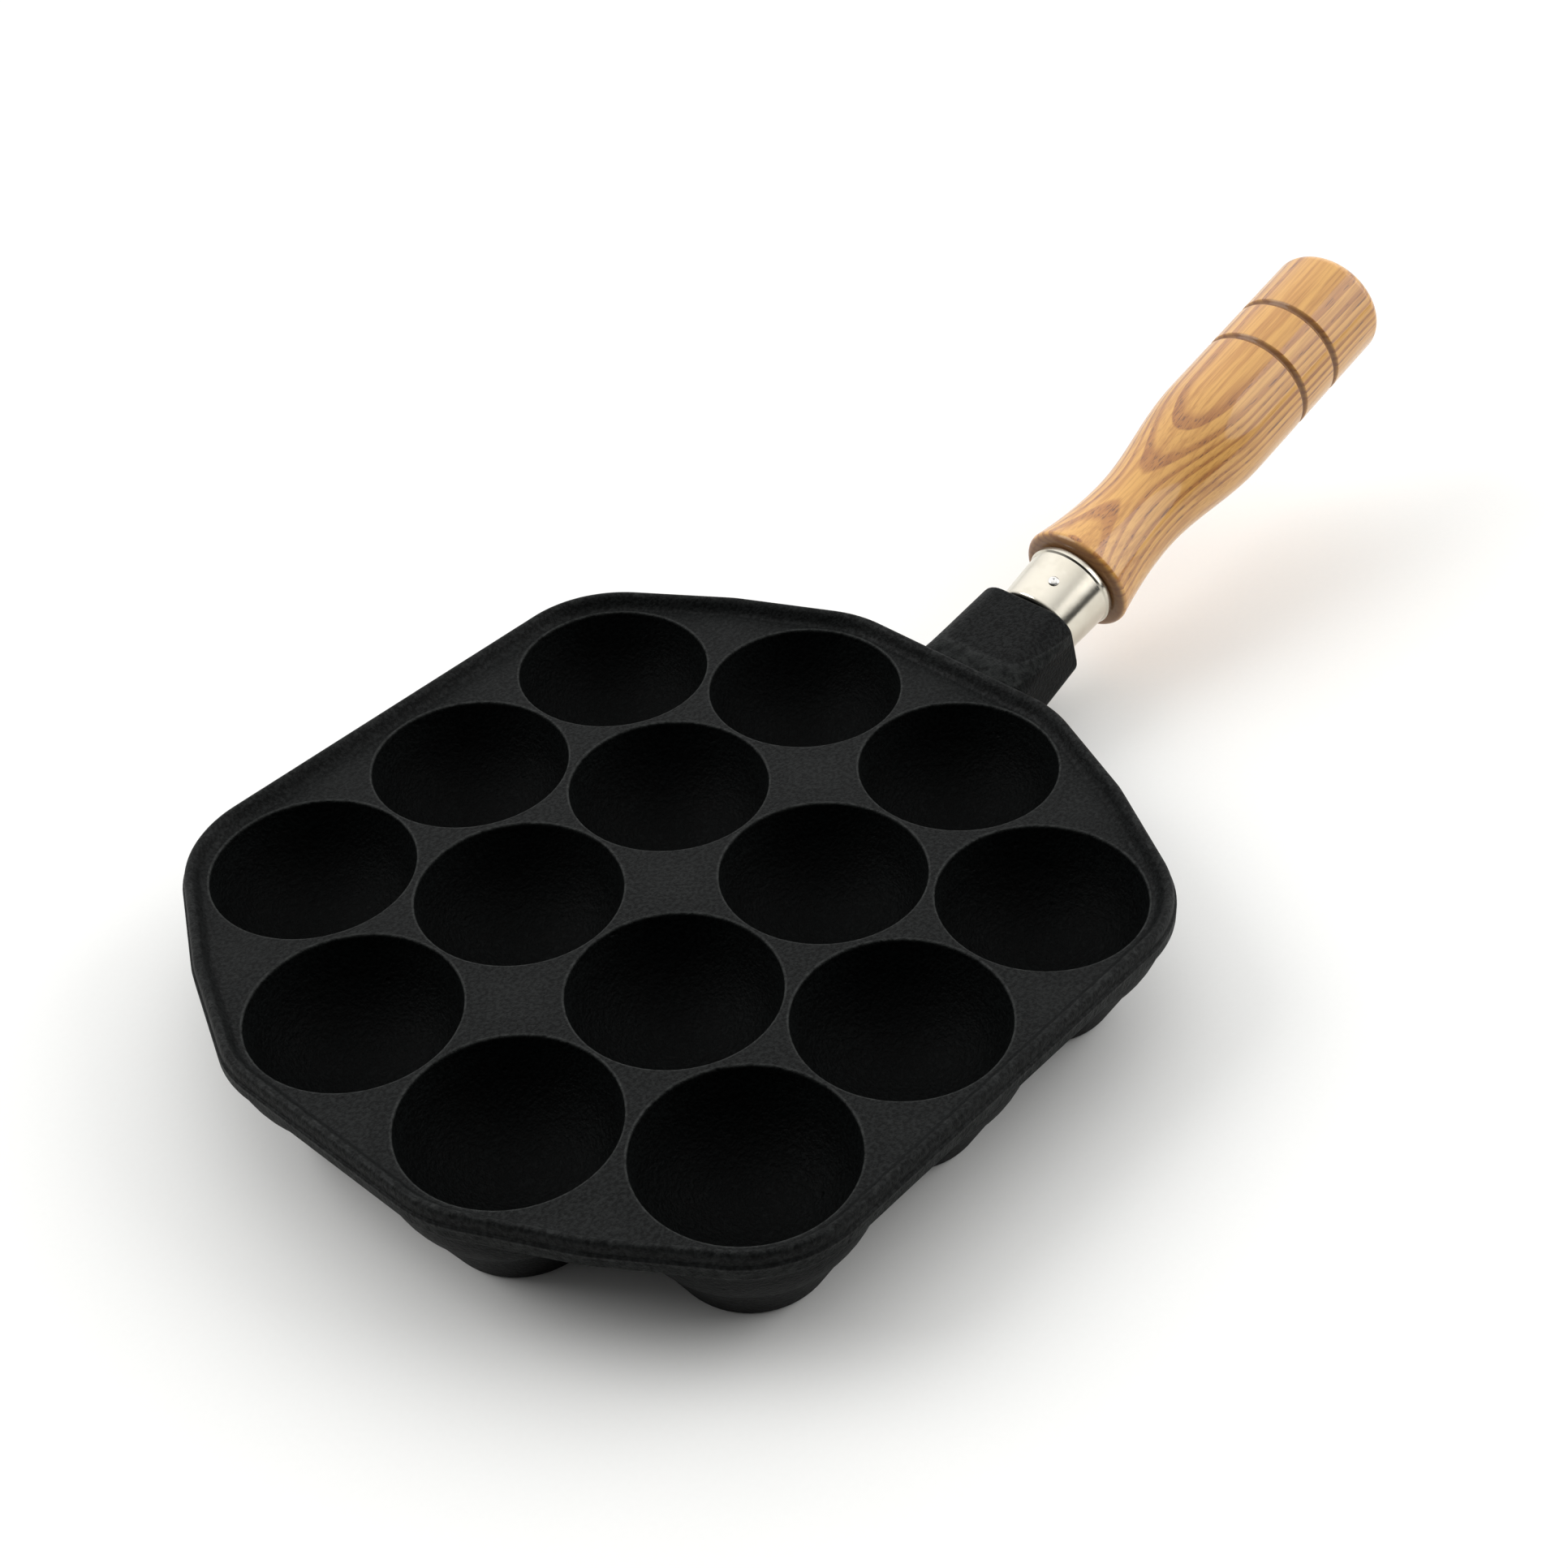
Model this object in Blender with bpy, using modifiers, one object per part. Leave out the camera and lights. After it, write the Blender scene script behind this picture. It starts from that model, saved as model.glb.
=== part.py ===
# Takoyaki pan: a sand cast iron pan with fourteen half-round cups and a turned wooden handle.
# The handle is held by one long bolt, which runs through the grip and screws into the pan's socket.
# Metres, +Z up. The pan stands on the flat feet of its cups, on the plane z = 0, and the handle
# points to +X. The origin lies on that plane, below the middle of the whole length.

import math

import bmesh
import bpy
from mathutils import Matrix, Vector

# Cups
CUP_MOUTH_RADIUS = 0.0200
CUP_DEPTH = 0.0200
CUP_PITCH = 0.0410
INNER_COLUMN_Y = 0.0205
OUTER_COLUMN_Y = 0.0568
INNER_COLUMN_CUPS = 4
OUTER_COLUMN_CUPS = 3
CUP_WALL = 0.0041
CUP_CREASE_DROP = 0.0130
CUP_CREASE_WIDTH = 0.0004
CUP_CREASE_HEIGHT = 0.0003
FOOT_RADIUS = 0.0140
FOOT_DROP = 0.0255

# Plate, raised lip and skirt, which follow the outer cups at one margin. The four slanted sides
# bow outwards halfway.
PLATE_THICKNESS = 0.0030
RIM_MARGIN = 0.0050
SIDE_BOW = 0.0013
LIP_WIDTH = 0.0044
LIP_HEIGHT = 0.0028
LIP_OUTER_DROP = 0.0014
SKIRT_STEP = 0.0005
SKIRT_DEPTH = 0.0048
SKIRT_THICKNESS = 0.0032
SKIRT_EDGE_RADIUS = 0.0006

# Handle axis: it leaves the pan at the anchor, just outside the end of the rim, and rises outwards
ANCHOR_OVERHANG = 0.0005
ANCHOR_DROP = 0.0116
HANDLE_TILT = math.radians(14.75)

# Socket, cast in one with the pan; places are distances along the handle axis from the anchor
SOCKET_FACE = 0.0267
SOCKET_NECK = 0.0080
SOCKET_FLARE = 0.0030
SOCKET_ROOT = -0.0015
SOCKET_TAIL = -0.0120
SOCKET_FACE_HALF_WIDTH = 0.0118
SOCKET_NECK_HALF_WIDTH = 0.0131
SOCKET_FLARE_HALF_WIDTH = 0.0147
SOCKET_ROOT_HALF_WIDTH = 0.0185
SOCKET_TAIL_HALF_WIDTH = 0.0110
SOCKET_FACE_HALF_HEIGHT = 0.0094
SOCKET_ROOT_HALF_HEIGHT = 0.0088
SOCKET_TAIL_HALF_HEIGHT = 0.0070
SOCKET_CORNER_RADIUS = 0.0066
SOCKET_FACE_ROUNDING = 0.0010

# Bolt, its washers and their seats
BOLT_RADIUS = 0.0040
BOLT_PITCH = 0.00125
BOLT_ENGAGEMENT = 0.0170
BOLT_TIP_CHAMFER = 0.0008
BORE_TIP_ROOM = 0.0030
HEAD_RADIUS = 0.0068
HEAD_HEIGHT = 0.0046
HEAD_EDGE_RADIUS = 0.0014
SLOT_WIDTH = 0.0016
SLOT_DEPTH = 0.0022
FLAT_WASHER_RADIUS = 0.0080
FLAT_WASHER_THICKNESS = 0.0016
SPRING_WASHER_RADIUS = 0.0066
SPRING_WASHER_THICKNESS = 0.0020
SPRING_WASHER_SPLIT = 0.0012
SPRING_WASHER_SPLIT_TILT = math.radians(25.0)

# Ferrule: a steel sleeve with an inturned front end, pinned to the wooden spigot
FERRULE_FRONT_RADIUS = 0.0095
FERRULE_REAR_RADIUS = 0.0102
FERRULE_WALL = 0.0009
FERRULE_FRONT_WALL = 0.0014
FERRULE_FRONT_ROUNDING = 0.0010
FERRULE_BEAD_WIDTH = 0.0016
FERRULE_BEAD_HEIGHT = 0.0003
PIN_STATION = 0.0335
PIN_TURN = math.radians(-13.5)
PIN_SHANK_RADIUS = 0.0009
PIN_LENGTH = 0.0060
PIN_HEAD_RADIUS = 0.0016
PIN_HEAD_HEIGHT = 0.0007

# Turned grip
GRIP_FRONT = 0.0420
GRIP_END = 0.1482
GRIP_FRONT_RADIUS = 0.0131
GRIP_FRONT_ROUNDING = 0.0016
GRIP_WAIST = 0.0650
GRIP_WAIST_RADIUS = 0.0105
GRIP_SWELL = 0.0970
GRIP_SWELL_RADIUS = 0.01375
GRIP_BUTT_LENGTH = 0.0060
GROOVE_STATIONS = (0.1128, 0.1256)
GROOVE_WIDTH = 0.0014
GROOVE_DEPTH = 0.0008
COUNTERBORE_RADIUS = 0.0088
COUNTERBORE_DEPTH = 0.0105

# Clearances and the overrun of every cut
SEAT_GAP = 0.0003
RUNNING_GAP = 0.0003
CUT_OVERRUN = 0.0020

# Facets
CUP_SIDES = 24
CUP_RINGS = 6
SHELL_RINGS = 3
CORNER_STEP = math.radians(7.5)
TURNED_SIDES = 28
BOLT_SIDES = 24
PIN_SIDES = 12
ROUNDING_STEPS = 3
GRIP_CURVE_STEPS = 6
MERGE_DISTANCE = 0.00001
SHARP_ANGLE = math.radians(35.0)

# Shape of the raised lip: shares of its width, from the plate outwards, and of its height
LIP_SHAPE_SHARES = (
    (0.00, 0.00),
    (0.20, 0.28),
    (0.40, 0.78),
    (0.56, 0.98),
    (0.74, 1.00),
    (0.90, 0.80),
    (1.00, 0.40),
)
# How fast the grip narrows behind its front edge
GRIP_FRONT_CURVE_POWER = 1.8

# Colours, roughness and metallic value of each finish
CAST_IRON = ((0.030, 0.031, 0.032, 1.0), 0.62, 0.55)
BRIGHT_STEEL = ((0.72, 0.71, 0.69, 1.0), 0.22, 1.0)
ZINC_STEEL = ((0.55, 0.55, 0.53, 1.0), 0.35, 1.0)
LACQUERED_WOOD = ((0.62, 0.37, 0.15, 1.0), 0.30, 0.0)

# Sizes that follow from the ones above
OUTLINE_RADIUS = CUP_MOUTH_RADIUS + RIM_MARGIN
INNER_CUP_REACH_X = (INNER_COLUMN_CUPS - 1) / 2 * CUP_PITCH
OUTER_CUP_REACH_X = (OUTER_COLUMN_CUPS - 1) / 2 * CUP_PITCH
CUP_OUTER_RADIUS = CUP_MOUTH_RADIUS + CUP_WALL
ANCHOR_DISTANCE = INNER_CUP_REACH_X + OUTLINE_RADIUS + ANCHOR_OVERHANG
BORE_RADIUS = BOLT_RADIUS + RUNNING_GAP
BOLT_TIP = SOCKET_FACE - BOLT_ENGAGEMENT
FERRULE_FRONT = SOCKET_FACE + SEAT_GAP
FERRULE_REAR = GRIP_FRONT - SEAT_GAP
SPIGOT_FRONT = FERRULE_FRONT + FERRULE_FRONT_WALL + SEAT_GAP
COUNTERBORE_FLOOR = GRIP_END - COUNTERBORE_DEPTH
FLAT_WASHER_SEAT = COUNTERBORE_FLOOR + SEAT_GAP
SPRING_WASHER_SEAT = FLAT_WASHER_SEAT + FLAT_WASHER_THICKNESS + SEAT_GAP
HEAD_SEAT = SPRING_WASHER_SEAT + SPRING_WASHER_THICKNESS + SEAT_GAP
HEAD_TOP = HEAD_SEAT + HEAD_HEIGHT


# Scene helpers


def new_collection(name, parent):
    collection = bpy.data.collections.new(name)
    parent.children.link(collection)
    return collection


def finish(name, look):
    colour, roughness, metallic = look
    material = bpy.data.materials.new(name)
    material.use_nodes = True
    shader = material.node_tree.nodes["Principled BSDF"]
    shader.inputs["Base Color"].default_value = colour
    shader.inputs["Roughness"].default_value = roughness
    shader.inputs["Metallic"].default_value = metallic
    return material


def add_empty(name, parent, location, turn_about_y):
    empty = bpy.data.objects.new(name, None)
    empty.location = location
    empty.rotation_euler = (0.0, turn_about_y, 0.0)
    empty.parent = parent
    PARTS.objects.link(empty)
    return empty


def add_object(name, mesh, collection, parent, material=None):
    obj = bpy.data.objects.new(name, mesh)
    obj.parent = parent
    collection.objects.link(obj)
    if material is not None:
        mesh.materials.append(material)
    if collection is not PARTS:
        obj.hide_render = True
        obj.display_type = "WIRE"
    return obj


def add_boolean(obj, operation, cutter):
    modifier = obj.modifiers.new(operation.lower(), "BOOLEAN")
    modifier.operation = operation
    modifier.solver = "EXACT"
    if isinstance(cutter, bpy.types.Collection):
        modifier.operand_type = "COLLECTION"
        modifier.collection = cutter
    else:
        modifier.object = cutter


def smooth_shading(obj):
    obj.data.shade_smooth()
    obj.data.set_sharp_from_angle(angle=SHARP_ANGLE)


# Shape helpers


def turned(name, profile, sides, collection, parent, material=None, closed=False):
    # The profile is a list of (radius, height) points. It starts at the top, runs down the outer
    # side and ends at the bottom on the axis, or comes back up the bore where it is closed.
    mesh = bpy.data.meshes.new(name)
    points = [(radius, 0.0, height) for radius, height in profile]
    edges = [(i, i + 1) for i in range(len(points) - 1)]
    if closed:
        edges.append((len(points) - 1, 0))
    mesh.from_pydata(points, edges, [])
    obj = add_object(name, mesh, collection, parent, material)
    screw = obj.modifiers.new("turn", "SCREW")
    screw.axis = "Z"
    screw.steps = sides
    screw.render_steps = sides
    screw.use_merge_vertices = True
    screw.merge_threshold = MERGE_DISTANCE
    screw.use_smooth_shade = True
    return obj


def arc_points(centre, radii, start, end, steps):
    # Points of an elliptic arc, as (radius, height) pairs. Angles run from the outward direction.
    points = []
    for i in range(steps + 1):
        angle = start + (end - start) * i / steps
        points.append((centre[0] + radii[0] * math.cos(angle), centre[1] + radii[1] * math.sin(angle)))
    return points


def loft(name, rings, collection, parent, material=None):
    # A closed skin over rings of equal point count, lowest ring first, counterclockwise from above.
    shape = bmesh.new()
    rows = [[shape.verts.new(point) for point in ring] for ring in rings]
    count = len(rows[0])
    for lower, upper in zip(rows, rows[1:]):
        for i in range(count):
            k = (i + 1) % count
            shape.faces.new((lower[i], lower[k], upper[k], upper[i]))
    shape.faces.new(list(reversed(rows[0])))
    shape.faces.new(rows[-1])
    bmesh.ops.recalc_face_normals(shape, faces=shape.faces)
    mesh = bpy.data.meshes.new(name)
    shape.to_mesh(mesh)
    shape.free()
    return add_object(name, mesh, collection, parent, material)


def box(name, size, location, turn, collection, parent):
    shape = bmesh.new()
    bmesh.ops.create_cube(shape, size=1.0, matrix=Matrix.Diagonal((*size, 1.0)))
    mesh = bpy.data.meshes.new(name)
    shape.to_mesh(mesh)
    shape.free()
    obj = add_object(name, mesh, collection, parent)
    obj.location = location
    obj.rotation_euler = turn
    return obj


# Pan


def cup_centres():
    centres = []
    for side in (-1, 1):
        for i in range(INNER_COLUMN_CUPS):
            centres.append((i * CUP_PITCH - INNER_CUP_REACH_X, side * INNER_COLUMN_Y))
        for i in range(OUTER_COLUMN_CUPS):
            centres.append((i * CUP_PITCH - OUTER_CUP_REACH_X, side * OUTER_COLUMN_Y))
    return centres


def outline(inset, height):
    # The rim's outline: arcs about the corner cups and about the middle of each slanted side, which
    # stands outwards by the bow, joined by straight runs that touch both neighbours.
    across = INNER_CUP_REACH_X - OUTER_CUP_REACH_X
    along = OUTER_COLUMN_Y - INNER_COLUMN_Y
    slant = math.atan2(across, along)
    bow_turn = math.atan2(SIDE_BOW, math.hypot(across, along) / 2)
    middle_x = (INNER_CUP_REACH_X + OUTER_CUP_REACH_X) / 2 + SIDE_BOW * math.cos(slant)
    middle_y = (INNER_COLUMN_Y + OUTER_COLUMN_Y) / 2 + SIDE_BOW * math.sin(slant)
    quarter = (
        (INNER_CUP_REACH_X, INNER_COLUMN_Y, 0.0, slant - bow_turn),
        (middle_x, middle_y, slant - bow_turn, slant + bow_turn),
        (OUTER_CUP_REACH_X, OUTER_COLUMN_Y, slant + bow_turn, math.pi / 2),
    )
    points = []
    for x, y, start, end in quarter:
        steps = max(1, round((end - start) / CORNER_STEP))
        for i in range(steps + 1):
            angle = start + (end - start) * i / steps
            reach = OUTLINE_RADIUS - inset
            points.append((x + reach * math.cos(angle), y + reach * math.sin(angle)))
    left = [(-x, y) for x, y in reversed(points)]
    upper = points + left
    lower = [(-x, -y) for x, y in upper]
    return [(x, y, height) for x, y in upper + lower]


def pan_blank():
    # Plate with its raised lip and its skirt, before the cups are sunk into it.
    under_inset = SKIRT_STEP + SKIRT_THICKNESS
    rings = [
        outline(SKIRT_STEP + SKIRT_EDGE_RADIUS, -SKIRT_DEPTH),
        outline(SKIRT_STEP, -SKIRT_DEPTH + SKIRT_EDGE_RADIUS),
        outline(SKIRT_STEP, -LIP_OUTER_DROP - SKIRT_STEP),
        outline(0.0, -LIP_OUTER_DROP),
    ]
    for across, up in reversed(LIP_SHAPE_SHARES):
        rings.append(outline(LIP_WIDTH * (1 - across), LIP_HEIGHT * up))
    blank = loft("takoyaki_pan_casting", rings, PARTS, PAN, finish("cast_iron", CAST_IRON))
    recess = loft(
        "skirt_recess",
        [
            outline(under_inset, -SKIRT_DEPTH - CUT_OVERRUN),
            outline(under_inset, -PLATE_THICKNESS),
        ],
        CUTTERS,
        PAN,
    )
    add_boolean(blank, "DIFFERENCE", recess)
    return blank


def cup_shell_profile():
    # Outside of one cup. A ball one wall larger than the mouth ends in a small step, the crease,
    # and a straight taper runs from there down to the flat foot.
    start = math.asin(PLATE_THICKNESS / 2 / CUP_OUTER_RADIUS)
    crease = math.asin(CUP_CREASE_DROP / CUP_OUTER_RADIUS)
    crease_radius = CUP_OUTER_RADIUS * math.cos(crease)
    radii = (CUP_OUTER_RADIUS, CUP_OUTER_RADIUS)
    return [
        (0.0, -PLATE_THICKNESS / 2),
        *arc_points((0.0, 0.0), radii, -start, -crease, SHELL_RINGS),
        (crease_radius - CUP_CREASE_WIDTH, -CUP_CREASE_DROP - CUP_CREASE_HEIGHT),
        (FOOT_RADIUS, -FOOT_DROP),
        (0.0, -FOOT_DROP),
    ]


def cup_cutter_profile():
    # Inside of one cup: an ellipse of the mouth's radius and the cup's depth, open upwards.
    profile = [(0.0, CUT_OVERRUN), (CUP_MOUTH_RADIUS, CUT_OVERRUN)]
    profile += arc_points((0.0, 0.0), (CUP_MOUTH_RADIUS, CUP_DEPTH), 0.0, -math.pi / 2, CUP_RINGS)[:-1]
    profile.append((0.0, -CUP_DEPTH))
    return profile


def axis_point(along, across=0.0, above=0.0):
    # A point given along, across and above the handle axis, in the pan's coordinates.
    x = ANCHOR_DISTANCE + along * math.cos(HANDLE_TILT) - above * math.sin(HANDLE_TILT)
    z = -ANCHOR_DROP + along * math.sin(HANDLE_TILT) + above * math.cos(HANDLE_TILT)
    return (x, across, z)


def socket_ring(along, half_width, half_height, corner):
    points = []
    for turn in range(4):
        side_y = half_width - corner
        side_z = half_height - corner
        centre = ((side_y, side_z), (-side_y, side_z), (-side_y, -side_z), (side_y, -side_z))[turn]
        for i in range(ROUNDING_STEPS + 1):
            angle = math.pi / 2 * (turn + i / ROUNDING_STEPS)
            across = centre[0] + corner * math.cos(angle)
            above = centre[1] + corner * math.sin(angle)
            points.append(axis_point(along, across, above))
    return points


def socket_block():
    face_inset = SOCKET_FACE_ROUNDING
    rings = [
        socket_ring(SOCKET_TAIL, SOCKET_TAIL_HALF_WIDTH, SOCKET_TAIL_HALF_HEIGHT, SOCKET_CORNER_RADIUS),
        socket_ring(SOCKET_ROOT, SOCKET_ROOT_HALF_WIDTH, SOCKET_ROOT_HALF_HEIGHT, SOCKET_CORNER_RADIUS),
        socket_ring(SOCKET_FLARE, SOCKET_FLARE_HALF_WIDTH, SOCKET_ROOT_HALF_HEIGHT, SOCKET_CORNER_RADIUS),
        socket_ring(SOCKET_NECK, SOCKET_NECK_HALF_WIDTH, SOCKET_FACE_HALF_HEIGHT, SOCKET_CORNER_RADIUS),
        socket_ring(
            SOCKET_FACE - face_inset, SOCKET_FACE_HALF_WIDTH, SOCKET_FACE_HALF_HEIGHT, SOCKET_CORNER_RADIUS
        ),
        socket_ring(
            SOCKET_FACE,
            SOCKET_FACE_HALF_WIDTH - face_inset,
            SOCKET_FACE_HALF_HEIGHT - face_inset,
            SOCKET_CORNER_RADIUS - face_inset,
        ),
    ]
    return loft("socket_block", rings, JOINED, PAN)


def build_pan():
    blank = pan_blank()
    for x, y in cup_centres():
        shell = turned("cup_shell", cup_shell_profile(), CUP_SIDES, JOINED, PAN)
        shell.location = (x, y, 0.0)
        # Turned by half a facet, so that neighbours meet flat side to flat side.
        shell.rotation_euler = (0.0, 0.0, math.pi / CUP_SIDES)
        cup = turned("cup_hollow", cup_cutter_profile(), CUP_SIDES, HOLLOWS, PAN)
        cup.location = (x, y, 0.0)
    socket_block()
    bore_length = BOLT_ENGAGEMENT + BORE_TIP_ROOM
    turned(
        "bolt_bore",
        [
            (0.0, SOCKET_FACE + CUT_OVERRUN),
            (BORE_RADIUS, SOCKET_FACE + CUT_OVERRUN),
            (BORE_RADIUS, SOCKET_FACE - bore_length),
            (0.0, SOCKET_FACE - bore_length - BORE_RADIUS / 2),
        ],
        BOLT_SIDES,
        HOLLOWS,
        HANDLE,
    )
    add_boolean(blank, "UNION", JOINED)
    add_boolean(blank, "DIFFERENCE", HOLLOWS)
    smooth_shading(blank)


# Handle


def grip_profile():
    spigot_front_radius = FERRULE_FRONT_RADIUS - FERRULE_WALL - SEAT_GAP
    spigot_rear_radius = FERRULE_REAR_RADIUS - FERRULE_WALL - SEAT_GAP
    butt_start = GRIP_END - GRIP_BUTT_LENGTH
    rim_angle = math.acos(COUNTERBORE_RADIUS / GRIP_SWELL_RADIUS)
    rim_height = butt_start + GRIP_BUTT_LENGTH * math.sin(rim_angle)
    outer = [(COUNTERBORE_RADIUS, rim_height)]
    outer += arc_points(
        (0.0, butt_start), (GRIP_SWELL_RADIUS, GRIP_BUTT_LENGTH), rim_angle, 0.0, GRIP_CURVE_STEPS
    )[1:]
    for station in reversed(GROOVE_STATIONS):
        outer.append((GRIP_SWELL_RADIUS, station + GROOVE_WIDTH / 2))
        outer.append((GRIP_SWELL_RADIUS - GROOVE_DEPTH, station))
        outer.append((GRIP_SWELL_RADIUS, station - GROOVE_WIDTH / 2))
    for i in range(GRIP_CURVE_STEPS + 1):
        share = i / GRIP_CURVE_STEPS
        swell = (1 + math.cos(math.pi * share)) / 2
        radius = GRIP_WAIST_RADIUS + (GRIP_SWELL_RADIUS - GRIP_WAIST_RADIUS) * swell
        outer.append((radius, GRIP_SWELL + (GRIP_WAIST - GRIP_SWELL) * share))
    curve_end = GRIP_FRONT + GRIP_FRONT_ROUNDING
    for i in range(1, GRIP_CURVE_STEPS + 1):
        share = i / GRIP_CURVE_STEPS
        swell = share ** GRIP_FRONT_CURVE_POWER
        radius = GRIP_WAIST_RADIUS + (GRIP_FRONT_RADIUS - GRIP_WAIST_RADIUS) * swell
        outer.append((radius, GRIP_WAIST + (curve_end - GRIP_WAIST) * share))
    outer += arc_points(
        (GRIP_FRONT_RADIUS - GRIP_FRONT_ROUNDING, curve_end),
        (GRIP_FRONT_ROUNDING, GRIP_FRONT_ROUNDING),
        0.0,
        -math.pi / 2,
        ROUNDING_STEPS,
    )[1:]
    outer += [
        (spigot_rear_radius, GRIP_FRONT),
        (spigot_front_radius, SPIGOT_FRONT),
    ]
    inner = [
        (BORE_RADIUS, SPIGOT_FRONT),
        (BORE_RADIUS, COUNTERBORE_FLOOR),
        (COUNTERBORE_RADIUS, COUNTERBORE_FLOOR),
    ]
    return outer + inner


def ferrule_profile():
    inner_front = FERRULE_FRONT_RADIUS - FERRULE_WALL
    inner_rear = FERRULE_REAR_RADIUS - FERRULE_WALL
    bead_radius = FERRULE_REAR_RADIUS + FERRULE_BEAD_HEIGHT
    return [
        (inner_rear, FERRULE_REAR),
        (bead_radius, FERRULE_REAR),
        (bead_radius, FERRULE_REAR - FERRULE_BEAD_WIDTH),
        (FERRULE_REAR_RADIUS, FERRULE_REAR - FERRULE_BEAD_WIDTH - FERRULE_BEAD_HEIGHT),
        *arc_points(
            (FERRULE_FRONT_RADIUS - FERRULE_FRONT_ROUNDING, FERRULE_FRONT + FERRULE_FRONT_ROUNDING),
            (FERRULE_FRONT_ROUNDING, FERRULE_FRONT_ROUNDING),
            0.0,
            -math.pi / 2,
            ROUNDING_STEPS,
        ),
        (BORE_RADIUS, FERRULE_FRONT),
        (BORE_RADIUS, FERRULE_FRONT + FERRULE_FRONT_WALL),
        (inner_front, FERRULE_FRONT + FERRULE_FRONT_WALL),
    ]


def washer_profile(outer, seat, thickness):
    top = seat + thickness
    return [(BORE_RADIUS, top), (outer, top), (outer, seat), (BORE_RADIUS, seat)]


def bolt_profile():
    return [
        (0.0, HEAD_TOP),
        *arc_points(
            (HEAD_RADIUS - HEAD_EDGE_RADIUS, HEAD_TOP - HEAD_EDGE_RADIUS),
            (HEAD_EDGE_RADIUS, HEAD_EDGE_RADIUS),
            math.pi / 2,
            0.0,
            ROUNDING_STEPS,
        ),
        (HEAD_RADIUS, HEAD_SEAT),
        (BOLT_RADIUS, HEAD_SEAT),
        (BOLT_RADIUS, BOLT_TIP + BOLT_TIP_CHAMFER),
        (BOLT_RADIUS - BOLT_TIP_CHAMFER, BOLT_TIP),
        (0.0, BOLT_TIP),
    ]


def ferrule_radius_at(station):
    share = (station - FERRULE_FRONT) / (FERRULE_REAR - FERRULE_FRONT)
    return FERRULE_FRONT_RADIUS + (FERRULE_REAR_RADIUS - FERRULE_FRONT_RADIUS) * share


def pin_profile():
    seat = ferrule_radius_at(PIN_STATION) + SEAT_GAP
    tip = seat - PIN_LENGTH
    dome = arc_points((0.0, seat), (PIN_HEAD_RADIUS, PIN_HEAD_HEIGHT), math.pi / 2, 0.0, ROUNDING_STEPS)
    return [
        (0.0, seat + PIN_HEAD_HEIGHT),
        *dome[1:],
        (PIN_SHANK_RADIUS, seat),
        (PIN_SHANK_RADIUS, tip),
        (0.0, tip),
    ]


def pin_hole_profile():
    radius = PIN_SHANK_RADIUS + RUNNING_GAP
    top = FERRULE_REAR_RADIUS + CUT_OVERRUN
    tip = ferrule_radius_at(PIN_STATION) - PIN_LENGTH
    return [(0.0, top), (radius, top), (radius, tip), (0.0, tip)]


def stand_on_ferrule(obj):
    # The pin's own axis points out of the ferrule, square to the handle axis, near its top.
    obj.location = (0.0, 0.0, PIN_STATION)
    obj.rotation_mode = "QUATERNION"
    outward = Vector((-math.cos(PIN_TURN), math.sin(PIN_TURN), 0.0))
    obj.rotation_quaternion = Vector((0.0, 0.0, 1.0)).rotation_difference(outward)


def build_handle():
    wood = finish("lacquered_wood", LACQUERED_WOOD)
    steel = finish("bright_steel", BRIGHT_STEEL)
    zinc = finish("zinc_steel", ZINC_STEEL)
    grip = turned("wooden_grip", grip_profile(), TURNED_SIDES, PARTS, HANDLE, wood, closed=True)
    ferrule = turned("ferrule", ferrule_profile(), TURNED_SIDES, PARTS, HANDLE, steel, closed=True)
    pin_steel = finish("pin_steel", ZINC_STEEL)
    pin = turned("ferrule_pin", pin_profile(), PIN_SIDES, PARTS, HANDLE, pin_steel)
    stand_on_ferrule(pin)
    pin_hole = turned("pin_hole", pin_hole_profile(), PIN_SIDES, CUTTERS, HANDLE)
    stand_on_ferrule(pin_hole)
    add_boolean(grip, "DIFFERENCE", pin_hole)
    add_boolean(ferrule, "DIFFERENCE", pin_hole)

    flat = washer_profile(FLAT_WASHER_RADIUS, FLAT_WASHER_SEAT, FLAT_WASHER_THICKNESS)
    turned("flat_washer", flat, BOLT_SIDES, PARTS, HANDLE, zinc, closed=True)
    sprung = washer_profile(SPRING_WASHER_RADIUS, SPRING_WASHER_SEAT, SPRING_WASHER_THICKNESS)
    spring_steel = finish("spring_steel", ZINC_STEEL)
    spring = turned("spring_washer", sprung, BOLT_SIDES, PARTS, HANDLE, spring_steel, closed=True)
    split = box(
        "washer_split",
        (SPRING_WASHER_RADIUS + CUT_OVERRUN, SPRING_WASHER_SPLIT, SPRING_WASHER_THICKNESS + 2 * CUT_OVERRUN),
        ((SPRING_WASHER_RADIUS + CUT_OVERRUN) / 2, 0.0, SPRING_WASHER_SEAT + SPRING_WASHER_THICKNESS / 2),
        (SPRING_WASHER_SPLIT_TILT, 0.0, 0.0),
        CUTTERS,
        HANDLE,
    )
    add_boolean(spring, "DIFFERENCE", split)

    bolt_steel = finish("bolt_steel", ZINC_STEEL)
    bolt = turned("handle_bolt", bolt_profile(), BOLT_SIDES, PARTS, HANDLE, bolt_steel)
    slot = box(
        "driver_slot",
        (2 * (HEAD_RADIUS + CUT_OVERRUN), SLOT_WIDTH, SLOT_DEPTH + CUT_OVERRUN),
        (0.0, 0.0, HEAD_TOP - SLOT_DEPTH + (SLOT_DEPTH + CUT_OVERRUN) / 2),
        (0.0, 0.0, 0.0),
        CUTTERS,
        HANDLE,
    )
    add_boolean(bolt, "DIFFERENCE", slot)


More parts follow.
